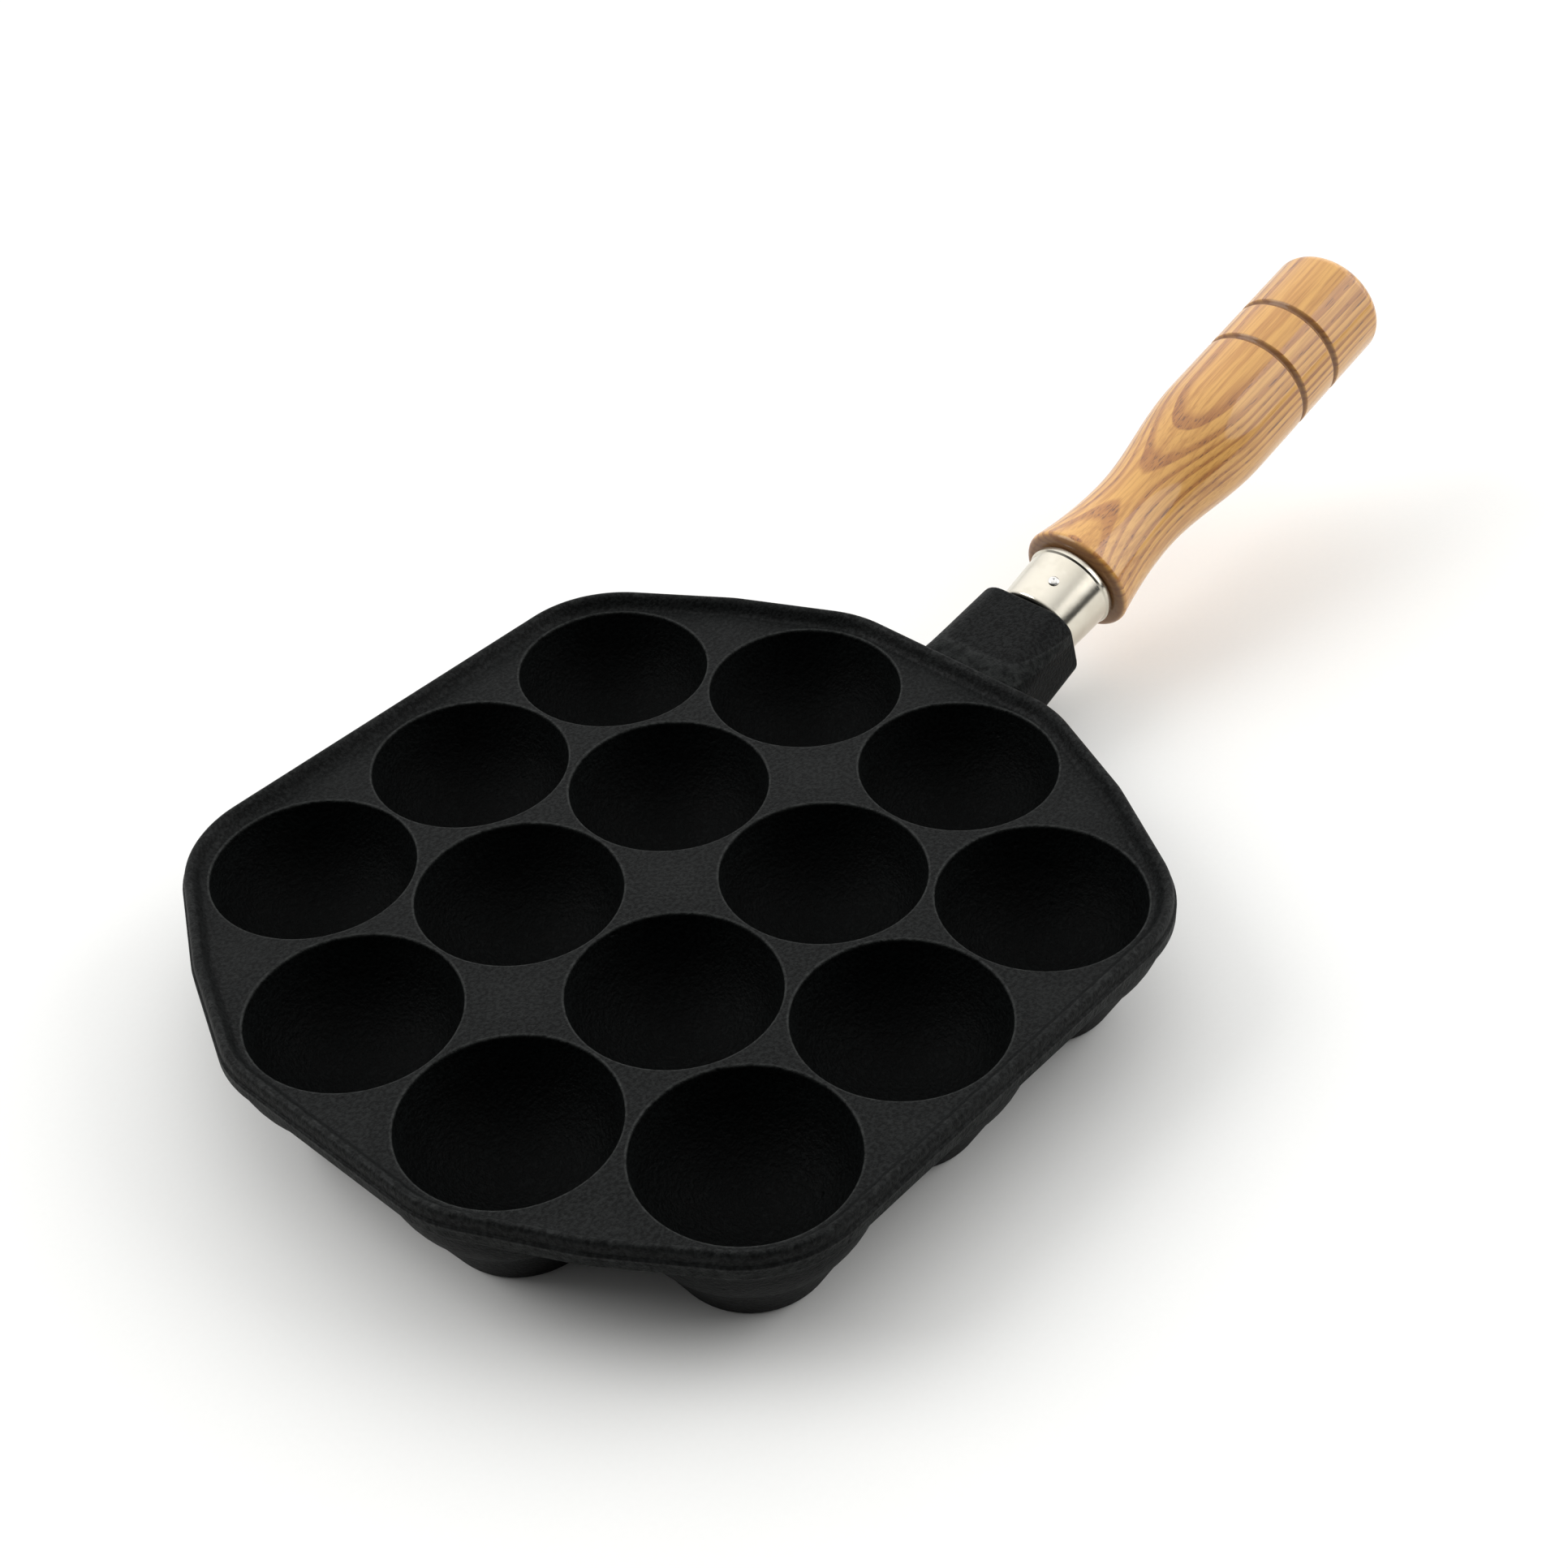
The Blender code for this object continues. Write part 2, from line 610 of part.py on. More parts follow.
def handle_reach():
    # The furthest that the grip reaches to +X, from the pan's middle.
    reach = 0.0
    for radius, along in grip_profile():
        reach = max(reach, axis_point(along, 0.0, -radius)[0])
    return reach


for old in list(bpy.data.objects):
    bpy.data.objects.remove(old, do_unlink=True)

PARTS = new_collection("takoyaki_pan", bpy.context.scene.collection)
CUTTERS = new_collection("cutters", bpy.context.scene.collection)
JOINED = new_collection("joined_to_the_pan", CUTTERS)
HOLLOWS = new_collection("hollows_of_the_pan", CUTTERS)

PAN_HALF_LENGTH = INNER_CUP_REACH_X + OUTLINE_RADIUS
PAN_CENTRE_X = (PAN_HALF_LENGTH - handle_reach()) / 2
PAN = add_empty("pan_frame", None, (PAN_CENTRE_X, 0.0, FOOT_DROP), 0.0)
HANDLE = add_empty(
    "handle_axis", PAN, (ANCHOR_DISTANCE, 0.0, -ANCHOR_DROP), math.pi / 2 - HANDLE_TILT
)
build_pan()
build_handle()
bpy.context.view_layer.update()
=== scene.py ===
"""Looks of a takoyaki pan: a sand cast iron pan with fourteen cups, on a turned wooden handle.

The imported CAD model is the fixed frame. Each sub-assembly below is modelled with Blender's own
operators at the place where the frame has it, gets its finish, and rides on a body of the frame.
Lengths are metres and angles are radians, unless a name says otherwise.
"""

import logging
import math
from dataclasses import dataclass
from enum import Enum
from typing import Callable, Mapping, Sequence, Union

import bpy
from mathutils import Matrix, Vector

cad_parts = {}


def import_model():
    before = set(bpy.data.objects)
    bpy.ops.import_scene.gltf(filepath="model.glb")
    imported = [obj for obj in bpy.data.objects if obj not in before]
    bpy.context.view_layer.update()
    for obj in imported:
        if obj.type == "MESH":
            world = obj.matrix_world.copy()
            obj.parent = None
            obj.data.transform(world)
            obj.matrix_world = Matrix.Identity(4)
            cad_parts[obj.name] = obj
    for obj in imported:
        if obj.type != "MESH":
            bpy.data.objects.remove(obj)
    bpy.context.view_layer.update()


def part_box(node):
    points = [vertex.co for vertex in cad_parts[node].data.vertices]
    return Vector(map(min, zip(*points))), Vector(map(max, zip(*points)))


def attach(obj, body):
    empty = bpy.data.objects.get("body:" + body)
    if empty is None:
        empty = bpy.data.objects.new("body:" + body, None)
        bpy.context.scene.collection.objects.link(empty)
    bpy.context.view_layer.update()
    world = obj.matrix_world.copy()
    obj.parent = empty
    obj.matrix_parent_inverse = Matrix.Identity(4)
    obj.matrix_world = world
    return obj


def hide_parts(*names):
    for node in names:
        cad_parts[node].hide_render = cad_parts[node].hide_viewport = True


LOG = logging.getLogger("takoyaki_pan")

MM = 0.001
MERGE_DISTANCE = 0.000002
RAMP_LIMIT = 30
SHARP_ANGLE = math.radians(35.0)
FACING = 0.9

Point = tuple[float, float]
Colour = tuple[float, float, float]


class Body(Enum):
    """The bodies of the frame that a piece can ride on."""

    PAN = "pan"
    HANDLE = "handle"
    BOLT = "bolt"


class Slot(Enum):
    """Names of the material slots."""

    CAST_IRON = "cast_iron"
    LACQUERED_WOOD = "lacquered_wood"
    BRIGHT_STEEL = "bright_steel"
    PIN_STEEL = "pin_steel"
    BOLT_STEEL = "bolt_steel"
    ZINC_STEEL = "zinc_steel"
    SPRING_STEEL = "spring_steel"


class Cut(Enum):
    """The ways in which one solid changes another."""

    JOIN = "UNION"
    TAKE_AWAY = "DIFFERENCE"


# ---------------------------------------------------------------------------------------------
# Bench: Blender's modelling operators, used as by hand
# ---------------------------------------------------------------------------------------------


def put_down_everything() -> None:
    """Leaves edit mode and deselects every object."""
    if bpy.context.object is not None and bpy.context.object.mode != "OBJECT":
        bpy.ops.object.mode_set(mode="OBJECT")
    bpy.ops.object.select_all(action="DESELECT")


def pick_up(piece: bpy.types.Object) -> None:
    """Makes one piece the only selected and active object.

    Args:
        piece: The object to work on.
    """
    put_down_everything()
    piece.select_set(True)
    bpy.context.view_layer.objects.active = piece


def settle() -> None:
    """Writes the active object's transform into its mesh."""
    bpy.ops.object.transform_apply(location=True, rotation=True, scale=True)


def select_all() -> None:
    """Selects everything in the piece that is in edit mode."""
    bpy.ops.mesh.select_all(action="SELECT")


def rename(piece: bpy.types.Object, name: str) -> bpy.types.Object:
    """Names a piece and its mesh.

    Args:
        piece: The object to name.
        name: Its new name.

    Returns:
        The same object.
    """
    piece.name = name
    piece.data.name = name
    return piece


def edit(piece: bpy.types.Object) -> None:
    """Opens a piece in edit mode with everything in it selected.

    Args:
        piece: The object to open.
    """
    pick_up(piece)
    bpy.ops.object.mode_set(mode="EDIT")
    select_all()


def choose_faces(piece: bpy.types.Object, wanted: Callable[[Vector, Vector], bool]) -> None:
    """Selects the faces of the piece in edit mode that a rule on place and normal names.

    Args:
        piece: The object that is open in edit mode.
        wanted: Tells from a face's centre and normal whether it is wanted.
    """
    bpy.ops.object.mode_set(mode="OBJECT")
    for vertex in piece.data.vertices:
        vertex.select = False
    for edge in piece.data.edges:
        edge.select = False
    for face in piece.data.polygons:
        face.select = wanted(face.center, face.normal)
    bpy.ops.object.mode_set(mode="EDIT")
    bpy.ops.mesh.select_mode(type="FACE")


def choose_edges(piece: bpy.types.Object, wanted: Callable[[Vector, Vector], bool]) -> None:
    """Selects the edges of the piece in edit mode that a rule on their two ends names.

    Args:
        piece: The object that is open in edit mode.
        wanted: Tells from the two ends of an edge whether it is wanted.
    """
    bpy.ops.mesh.select_mode(type="EDGE")
    bpy.ops.mesh.select_all(action="DESELECT")
    bpy.ops.object.mode_set(mode="OBJECT")
    points = piece.data.vertices
    for edge in piece.data.edges:
        first, second = edge.vertices
        edge.select = wanted(points[first].co, points[second].co)
    bpy.ops.object.mode_set(mode="EDIT")


def close_up(piece: bpy.types.Object) -> bpy.types.Object:
    """Merges doubles, turns all faces outwards and leaves edit mode.

    Args:
        piece: The object that is open in edit mode.

    Returns:
        The same object.
    """
    select_all()
    bpy.ops.mesh.remove_doubles(threshold=MERGE_DISTANCE)
    bpy.ops.mesh.normals_make_consistent(inside=False)
    bpy.ops.mesh.select_mode(type="VERT")
    bpy.ops.object.mode_set(mode="OBJECT")
    return piece


def turn_on_lathe(name: str, profile: Sequence[Point], sides: int) -> bpy.types.Object:
    """Traces a half profile vertex by vertex and spins it about Z.

    Args:
        name: The piece's name.
        profile: Points (radius, height). It starts and ends on the axis, or at the same point.
        sides: The number of steps in a full turn.

    Returns:
        The turned, closed piece.
    """
    put_down_everything()
    bpy.ops.mesh.primitive_plane_add(size=MM)
    piece = rename(bpy.context.object, name)
    bpy.ops.object.mode_set(mode="EDIT")
    bpy.ops.mesh.select_mode(type="VERT")
    select_all()
    bpy.ops.mesh.merge(type="CENTER")
    select_all()
    bpy.ops.transform.translate(value=(profile[0][0], 0.0, profile[0][1]))
    for start, end in zip(profile, profile[1:]):
        step = (end[0] - start[0], 0.0, end[1] - start[1])
        bpy.ops.mesh.extrude_vertices_move(TRANSFORM_OT_translate={"value": step})
    select_all()
    bpy.ops.mesh.spin(steps=sides, angle=math.tau, center=(0.0, 0.0, 0.0), axis=(0.0, 0.0, 1.0))
    return close_up(piece)


def stand_at(piece: bpy.types.Object, matrix: Matrix) -> bpy.types.Object:
    """Moves a piece to its place and writes the place into its mesh.

    Args:
        piece: The object to place.
        matrix: Where it stands in the frame.

    Returns:
        The same object, at the origin, unturned and unscaled.
    """
    pick_up(piece)
    piece.matrix_world = matrix
    settle()
    return piece


def copy_to(piece: bpy.types.Object, place: Vector) -> bpy.types.Object:
    """Copies a piece, with a mesh of its own, and writes the copy's place into that mesh.

    Args:
        piece: The object to copy.
        place: How far the copy stands from it.

    Returns:
        The copy.
    """
    pick_up(piece)
    bpy.ops.object.duplicate(linked=False)
    copy = bpy.context.object
    return stand_at(copy, Matrix.Translation(place))


def carve(piece: bpy.types.Object, how: Cut, tools: Sequence[bpy.types.Object]) -> None:
    """Joins solids to a piece or takes them away from it, and clears them off the bench.

    Args:
        piece: The solid that changes.
        how: Whether the tools are joined or taken away.
        tools: The closed solids to use.
    """
    shelf = bpy.data.collections.new("shelf")
    bpy.context.scene.collection.children.link(shelf)
    for tool in tools:
        shelf.objects.link(tool)
    pick_up(piece)
    modifier = piece.modifiers.new("carve", "BOOLEAN")
    modifier.operation = how.value
    modifier.solver = "EXACT"
    modifier.operand_type = "COLLECTION"
    modifier.collection = shelf
    bpy.ops.object.modifier_apply(modifier=modifier.name)
    for tool in tools:
        mesh = tool.data
        bpy.data.objects.remove(tool, do_unlink=True)
        bpy.data.meshes.remove(mesh)
    bpy.data.collections.remove(shelf)


def block(place: Colour, turn: Colour, size: Colour) -> bpy.types.Object:
    """Makes a plain block, as a tool to carve with.

    Args:
        place: Where its middle is.
        turn: Its rotation.
        size: Its edge lengths.

    Returns:
        The block.
    """
    put_down_everything()
    bpy.ops.mesh.primitive_cube_add(size=1.0, location=place, rotation=turn, scale=size)
    settle()
    return bpy.context.object


def arc(centre: Point, radii: Point, start: float, end: float, steps: int) -> list[Point]:
    """Points of an elliptic arc.

    Args:
        centre: The centre, as (radius, height).
        radii: The reach outwards and upwards.
        start: The first angle from the outward direction.
        end: The last angle.
        steps: The number of chords.

    Returns:
        The points (radius, height), both ends among them.
    """
    points = []
    for i in range(steps + 1):
        angle = start + (end - start) * i / steps
        points.append((centre[0] + radii[0] * math.cos(angle), centre[1] + radii[1] * math.sin(angle)))
    return points


def rounded_corner(before: Point, corner: Point, after: Point, reach: float, steps: int) -> list[Point]:
    """Rounds one corner of a profile.

    Args:
        before: The profile's point before the corner.
        corner: The corner itself, which the profile no longer touches.
        after: The point after the corner.
        reach: How far from the corner the rounding starts and ends.
        steps: The number of chords.

    Returns:
        The points of the rounding, both ends among them.
    """
    middle = Vector(corner)
    first = middle + (Vector(before) - middle).normalized() * reach
    last = middle + (Vector(after) - middle).normalized() * reach
    points = []
    for i in range(steps + 1):
        t = i / steps
        points.append(tuple(first * (1 - t) ** 2 + middle * (2 * t * (1 - t)) + last * t**2))
    return points


# ---------------------------------------------------------------------------------------------
# Paint shop: shader nodes as Python expressions
# ---------------------------------------------------------------------------------------------


class Signal:
    """A number that changes over a surface. Arithmetic on it adds Math nodes."""

    def __init__(self, recipe: "Recipe", socket: bpy.types.NodeSocket) -> None:
        """Wraps the socket that a recipe made."""
        self.recipe = recipe
        self.socket = socket

    def __add__(self, other: "Number") -> "Signal":
        """Adds."""
        return self.recipe.maths("ADD", self, other)

    def __radd__(self, other: "Number") -> "Signal":
        """Adds, with the signal on the right."""
        return self.recipe.maths("ADD", other, self)

    def __sub__(self, other: "Number") -> "Signal":
        """Subtracts."""
        return self.recipe.maths("SUBTRACT", self, other)

    def __rsub__(self, other: "Number") -> "Signal":
        """Subtracts the signal."""
        return self.recipe.maths("SUBTRACT", other, self)

    def __mul__(self, other: "Number") -> "Signal":
        """Multiplies."""
        return self.recipe.maths("MULTIPLY", self, other)

    def __rmul__(self, other: "Number") -> "Signal":
        """Multiplies, with the signal on the right."""
        return self.recipe.maths("MULTIPLY", other, self)

    def __truediv__(self, other: "Number") -> "Signal":
        """Divides."""
        return self.recipe.maths("DIVIDE", self, other)

    def __pow__(self, other: "Number") -> "Signal":
        """Raises to a power."""
        return self.recipe.maths("POWER", self, other)

    def __abs__(self) -> "Signal":
        """Takes the size without the sign."""
        return self.recipe.maths("ABSOLUTE", self, 0.0)

    def least(self, other: "Number") -> "Signal":
        """The smaller of two numbers."""
        return self.recipe.maths("MINIMUM", self, other)

    def most(self, other: "Number") -> "Signal":
        """The larger of two numbers."""
        return self.recipe.maths("MAXIMUM", self, other)

    def wrapped(self, period: float) -> "Signal":
        """The rest after whole periods, from 0 up to the period."""
        return self.recipe.maths("FLOORED_MODULO", self, period)

    def rise(self, low: float, high: float) -> "Signal":
        """Eases from 0 at one value to 1 at another, which may be the smaller one.

        Args:
            low: Where the result is 0.
            high: Where it is 1.

        Returns:
            The eased signal.
        """
        settings = {"interpolation_type": "SMOOTHSTEP"}
        sockets = {"Value": self, "From Min": low, "From Max": high}
        return self.recipe.signal("ShaderNodeMapRange", settings, sockets, "Result")


Number = Union[Signal, float]


class Tint:
    """A colour that changes over a surface."""

    def __init__(self, recipe: "Recipe", socket: bpy.types.NodeSocket) -> None:
        """Wraps the socket that a recipe made."""
        self.recipe = recipe
        self.socket = socket

    def toward(self, other: Union["Tint", Colour], share: Number) -> "Tint":
        """Mixes towards another colour.

        Args:
            other: The colour to reach.
            share: How much of it, from 0 to 1.

        Returns:
            The mixed colour.
        """
        return self.recipe.mixed("MIX", self, other, share)

    def times(self, other: Union["Tint", Colour], share: Number) -> "Tint":
        """Multiplies by another colour, in part.

        Args:
            other: The colour to multiply by.
            share: How much of the product, from 0 to 1.

        Returns:
            The darkened colour.
        """
        return self.recipe.mixed("MULTIPLY", self, other, share)


class Recipe:
    """The nodes of one material, or of the room's light, under work."""

    def __init__(self, owner: Union[bpy.types.Material, bpy.types.World]) -> None:
        """Starts with no nodes.

        Args:
            owner: The new material or world.
        """
        owner.use_nodes = True
        self.owner = owner
        self.tree = owner.node_tree
        self.tree.nodes.clear()

    def node(
        self, kind: str, settings: Mapping[str, object], sockets: Mapping[Union[str, int], object]
    ) -> bpy.types.Node:
        """Adds a node.

        Args:
            kind: The node's type.
            settings: Its own settings, which are set first. "stops" holds a ramp's stops.
            sockets: A value or a link for each input.

        Returns:
            The new node.
        """
        node = self.tree.nodes.new(kind)
        for key, value in settings.items():
            if key == "stops":
                self.set_stops(node.color_ramp, value)
            else:
                setattr(node, key, value)
        for key, value in sockets.items():
            socket = node.inputs[key]
            if hasattr(value, "socket"):
                self.tree.links.new(value.socket, socket)
            elif isinstance(value, bpy.types.NodeSocket):
                self.tree.links.new(value, socket)
            elif isinstance(value, tuple) and socket.type == "RGBA":
                socket.default_value = (*value[:3], 1.0)
            else:
                socket.default_value = value
        return node

    @staticmethod
    def set_stops(ramp: bpy.types.ColorRamp, stops: Sequence[tuple[float, object]]) -> None:
        """Gives a colour ramp its stops.

        Args:
            ramp: The ramp.
            stops: Its (place, grey or colour) pairs, in rising order.
        """
        while len(ramp.elements) < len(stops):
            ramp.elements.new(1.0)
        for element, (place, value) in zip(ramp.elements, stops):
            element.position = place
            colour = value if isinstance(value, tuple) else (value, value, value)
            element.color = (*colour, 1.0)

    def signal(
        self,
        kind: str,
        settings: Mapping[str, object],
        sockets: Mapping[Union[str, int], object],
        output: Union[str, int],
    ) -> Signal:
        """Adds a node and wraps one of its outputs as a number."""
        return Signal(self, self.node(kind, settings, sockets).outputs[output])

    def maths(self, operation: str, first: Number, second: Number) -> Signal:
        """Adds a Math node."""
        return self.signal("ShaderNodeMath", {"operation": operation}, {0: first, 1: second}, 0)

    def mixed(
        self, blend: str, first: Union[Tint, Colour], second: Union[Tint, Colour], share: Number
    ) -> Tint:
        """Adds a Mix node for colours.

        Args:
            blend: How the second colour acts on the first.
            first: The colour at share 0.
            second: The colour at share 1.
            share: The share of the second colour.

        Returns:
            The mixed colour.
        """
        settings = {"data_type": "RGBA", "blend_type": blend, "clamp_factor": True}
        node = self.node("ShaderNodeMix", settings, {0: share, 6: first, 7: second})
        return Tint(self, node.outputs[2])

    def ramp(self, value: Number, stops: Sequence[tuple[float, object]]) -> Tint:
        """Turns a number into a colour.

        Args:
            value: The number, from 0 to 1.
            stops: (place, grey or colour) pairs in rising order.

        Returns:
            The colour.
        """
        ramp = self.node("ShaderNodeValToRGB", {"stops": stops}, {"Fac": value})
        return Tint(self, ramp.outputs["Color"])

    def coordinates(self, stand: Matrix) -> bpy.types.NodeSocket:
        """The object's coordinates, seen from a part of it.

        Args:
            stand: Where that part's own axes stand.

        Returns:
            The vector socket.
        """
        place = self.node("ShaderNodeTexCoord", {}, {}).outputs["Object"]
        turn = stand.to_euler()
        sockets = {"Vector": place, "Location": stand.translation, "Rotation": turn}
        return self.node("ShaderNodeMapping", {"vector_type": "TEXTURE"}, sockets).outputs["Vector"]

    def stretched(self, vector: bpy.types.NodeSocket, scale: Colour) -> bpy.types.NodeSocket:
        """Scales coordinates differently along their axes."""
        sockets = {0: vector, 1: scale}
        return self.node("ShaderNodeVectorMath", {"operation": "MULTIPLY"}, sockets).outputs[0]

    def axes(self, vector: bpy.types.NodeSocket) -> tuple[Signal, Signal, Signal]:
        """Splits coordinates into three numbers."""
        node = self.node("ShaderNodeSeparateXYZ", {}, {"Vector": vector})
        return tuple(Signal(self, node.outputs[i]) for i in range(3))

    def noise(
        self, vector: bpy.types.NodeSocket, scale: float, detail: float = 2.0, roughness: float = 0.5
    ) -> Signal:
        """Cloudy noise.

        Args:
            vector: The coordinates.
            scale: Waves per metre.
            detail: The number of finer layers.
            roughness: How strong those are.

        Returns:
            A number about 0.5.
        """
        sockets = {"Vector": vector, "Scale": scale, "Detail": detail, "Roughness": roughness}
        return self.signal("ShaderNodeTexNoise", {}, sockets, "Fac")

    def cells(self, vector: bpy.types.NodeSocket, scale: float) -> tuple[Signal, Signal]:
        """Scattered points.

        Args:
            vector: The coordinates.
            scale: Points per metre.

        Returns:
            The distance to the nearest point, in cells, and that point's own random number.
        """
        node = self.node("ShaderNodeTexVoronoi", {}, {"Vector": vector, "Scale": scale})
        lot = self.node("ShaderNodeSeparateColor", {}, {"Color": node.outputs["Color"]})
        return Signal(self, node.outputs["Distance"]), Signal(self, lot.outputs[0])

    def bump(self, height: Signal, distance: float) -> Signal:
        """Turns heights into a normal.

        Args:
            height: The height, from 0 to 1.
            distance: The height that 1 stands for, in metres.

        Returns:
            The normal.
        """
        sockets = {"Height": height, "Distance": distance, "Strength": 1.0}
        return self.signal("ShaderNodeBump", {}, sockets, "Normal")

    def serve(self, sockets: Mapping[Union[str, int], object]) -> bpy.types.Material:
        """Adds the surface shader and finishes the material.

        Args:
            sockets: A value or a link for each input of the shader.

        Returns:
            The material.
        """
        shader = self.node("ShaderNodeBsdfPrincipled", {}, sockets)
        self.node("ShaderNodeOutputMaterial", {}, {"Surface": shader.outputs[0]})
        return self.owner


# ---------------------------------------------------------------------------------------------
# Where things stand
# ---------------------------------------------------------------------------------------------


@dataclass(frozen=True)
class PanLayout:
    """The pan's measured plan: its cups, its rim and where its handle starts."""

    mouth_radius: float = 20.0 * MM
    cup_depth: float = 20.0 * MM
    pitch: float = 41.0 * MM
    inner_row: float = 20.5 * MM
    outer_row: float = 56.8 * MM
    inner_count: int = 4
    outer_count: int = 3
    rim_radius: float = 25.0 * MM
    side_bow: float = 1.3 * MM
    plate_height: float = 25.5 * MM
    anchor_distance: float = 87.0 * MM
    anchor_drop: float = 11.6 * MM
    handle_tilt: float = math.radians(14.75)

    def pan(self) -> Matrix:
        """Where the pan's middle stands, on the upper face of its plate."""
        half_length = (self.inner_count - 1) / 2 * self.pitch + self.rim_radius
        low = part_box("takoyaki_pan_casting")[0]
        return Matrix.Translation((low.x + half_length, 0.0, self.plate_height))

    def handle(self) -> Matrix:
        """Where the handle's axis stands: its Z runs outwards and its X downwards."""
        anchor = Matrix.Translation((self.anchor_distance, 0.0, -self.anchor_drop))
        tilt = Matrix.Rotation(math.pi / 2 - self.handle_tilt, 4, "Y")
        return self.pan() @ anchor @ tilt

    def rows(self) -> tuple[tuple[float, int], ...]:
        """The rows of cups, each with its distance from the middle and its number of cups."""
        inner = (self.inner_row, self.inner_count)
        outer = (self.outer_row, self.outer_count)
        return (inner, outer, (-inner[0], inner[1]), (-outer[0], outer[1]))

    def cups(self) -> list[Vector]:
        """The middles of all the cups' mouths."""
        places = []
        for across, count in self.rows():
            for i in range(count):
                places.append(Vector(((i - (count - 1) / 2) * self.pitch, across, 0.0)))
        return places

    def rim_centres(self) -> list[Vector]:
        """The points that the rim turns about: the corner cups and the bowed middles of the slants."""
        inner = Vector(((self.inner_count - 1) / 2 * self.pitch, self.inner_row, 0.0))
        outer = Vector(((self.outer_count - 1) / 2 * self.pitch, self.outer_row, 0.0))
        run = outer - inner
        outwards = Vector((run.y, -run.x, 0.0)).normalized()
        quarter = (inner, (inner + outer) / 2 + outwards * self.side_bow, outer)
        signs = ((1, 1), (-1, 1), (1, -1), (-1, -1))
        return [Vector((p.x * across, p.y * along, 0.0)) for across, along in signs for p in quarter]


# ---------------------------------------------------------------------------------------------
# Finishes
# ---------------------------------------------------------------------------------------------


@dataclass(frozen=True)
class CastIron:
    """Black seasoned iron with the skin that the sand mould left.

    The cups' mouths carry a painted highlight, the lip's crest is lighter partly from wear and
    partly as a painted highlight, the ground edge of the plate is lighter, and the cups' insides
    are darkened as painted shade. "gloss" is the bare skin's specular level, and "oil" is the
    weight of the thin coat on the upper faces.
    """

    colour: Colour = (0.0040, 0.0050, 0.0049)
    wear_and_highlight_colour: Colour = (0.026, 0.028, 0.027)
    roughness: float = 0.54
    gloss: float = 0.055
    oil: float = 0.11
    oil_roughness: float = 0.46
    grain_height: float = 0.26 * MM

    def make(self, layout: PanLayout) -> bpy.types.Material:
        """Mixes the material.

        Args:
            layout: Where the cups are.

        Returns:
            The material.
        """
        recipe = Recipe(bpy.data.materials.new("cast_iron_skin"))
        place = recipe.coordinates(layout.pan())
        x, y, z = recipe.axes(place)
        pitch = layout.pitch
        sideways = abs(y)
        inner_end = (layout.inner_count - 1) / 2 * pitch
        outer_end = (layout.outer_count - 1) / 2 * pitch
        inner_x = abs(x.wrapped(pitch) - pitch / 2).most(abs(x) - inner_end)
        outer_x = abs((x + pitch / 2).wrapped(pitch) - pitch / 2).most(abs(x) - outer_end)
        inner_y = sideways - layout.inner_row
        outer_y = sideways - layout.outer_row
        inner = (inner_x * inner_x + inner_y * inner_y) ** 0.5
        outer = (outer_x * outer_x + outer_y * outer_y) ** 0.5
        from_cup = inner.least(outer)
        mouth = layout.mouth_radius
        in_cup = from_cup.rise(mouth, mouth - 1.5 * MM) * z.rise(-0.3 * MM, -1.5 * MM)

        lumps = recipe.noise(place, 70.0, 3.0, 0.55)
        sand = recipe.noise(place, 620.0, 5.0, 0.68)
        dust = recipe.noise(place, 2600.0, 2.0, 0.5)
        grit = recipe.noise(place, 1300.0, 3.0, 0.6).rise(0.36, 0.66)
        near, lot = recipe.cells(place, 300.0)
        pits = near.rise(0.20, 0.06) * lot.rise(0.955, 0.965)

        # Painted highlight: a thin lighter ring at each cup's mouth.
        edge = abs(from_cup - (mouth + 0.1 * MM)).rise(0.5 * MM, 0.05 * MM)
        edge = edge * z.rise(-0.9 * MM, -0.1 * MM)
        # The lip's crest is lighter, partly from wear and partly as a painted highlight.
        crest = z.rise(1.9 * MM, 2.6 * MM) * z.rise(3.3 * MM, 2.9 * MM)
        crest = crest * recipe.noise(place, 620.0, 4.0, 0.7).rise(0.45, 0.72)
        crest = crest * x.rise(inner_end + 25.4 * MM, inner_end + 24.6 * MM)
        rim = from_cup.rise(layout.rim_radius - 0.9 * MM, layout.rim_radius - 0.3 * MM)
        ground = rim * z.rise(0.05 * MM, -0.15 * MM) * z.rise(-2.9 * MM, -2.4 * MM)
        # Lighter colour: real wear, the ground edge of the plate, and painted highlights at the mouths
        # and on the crest.
        wear_and_highlight = edge * sand.rise(0.25, 0.65) + crest * 0.5 + ground * sand.rise(0.30, 0.70) * 0.7

        tint = recipe.mixed("MULTIPLY", self.colour, (0.35, 0.35, 0.35), 1.0 - grit)
        tint = tint.toward(self.wear_and_highlight_colour, wear_and_highlight)
        # Painted shade: the cups' insides are darkened below the iron's own colour.
        tint = tint.times((0.45, 0.45, 0.45), in_cup * 0.8)
        tint = tint.times((0.4, 0.4, 0.4), pits)
        roughness = self.roughness + (sand - 0.5) * 0.22 + (lumps - 0.5) * 0.12 - wear_and_highlight * 0.06
        height = sand * (0.62 + in_cup * 0.3 + ground * 0.2) + grit * 0.35 + dust * 0.16
        height = height - pits + lumps * 0.9
        oil = z.rise(-0.7 * MM, -0.2 * MM) * self.oil * (0.25 + lumps * 0.5 + grit)
        return recipe.serve(
            {
                "Base Color": tint,
                "Roughness": roughness,
                "Metallic": 0.0,
                "IOR": 1.5,
                "Specular IOR Level": self.gloss,
                "Coat Weight": oil,
                "Coat Roughness": self.oil_roughness,
                "Normal": recipe.bump(height, self.grain_height),
            }
        )


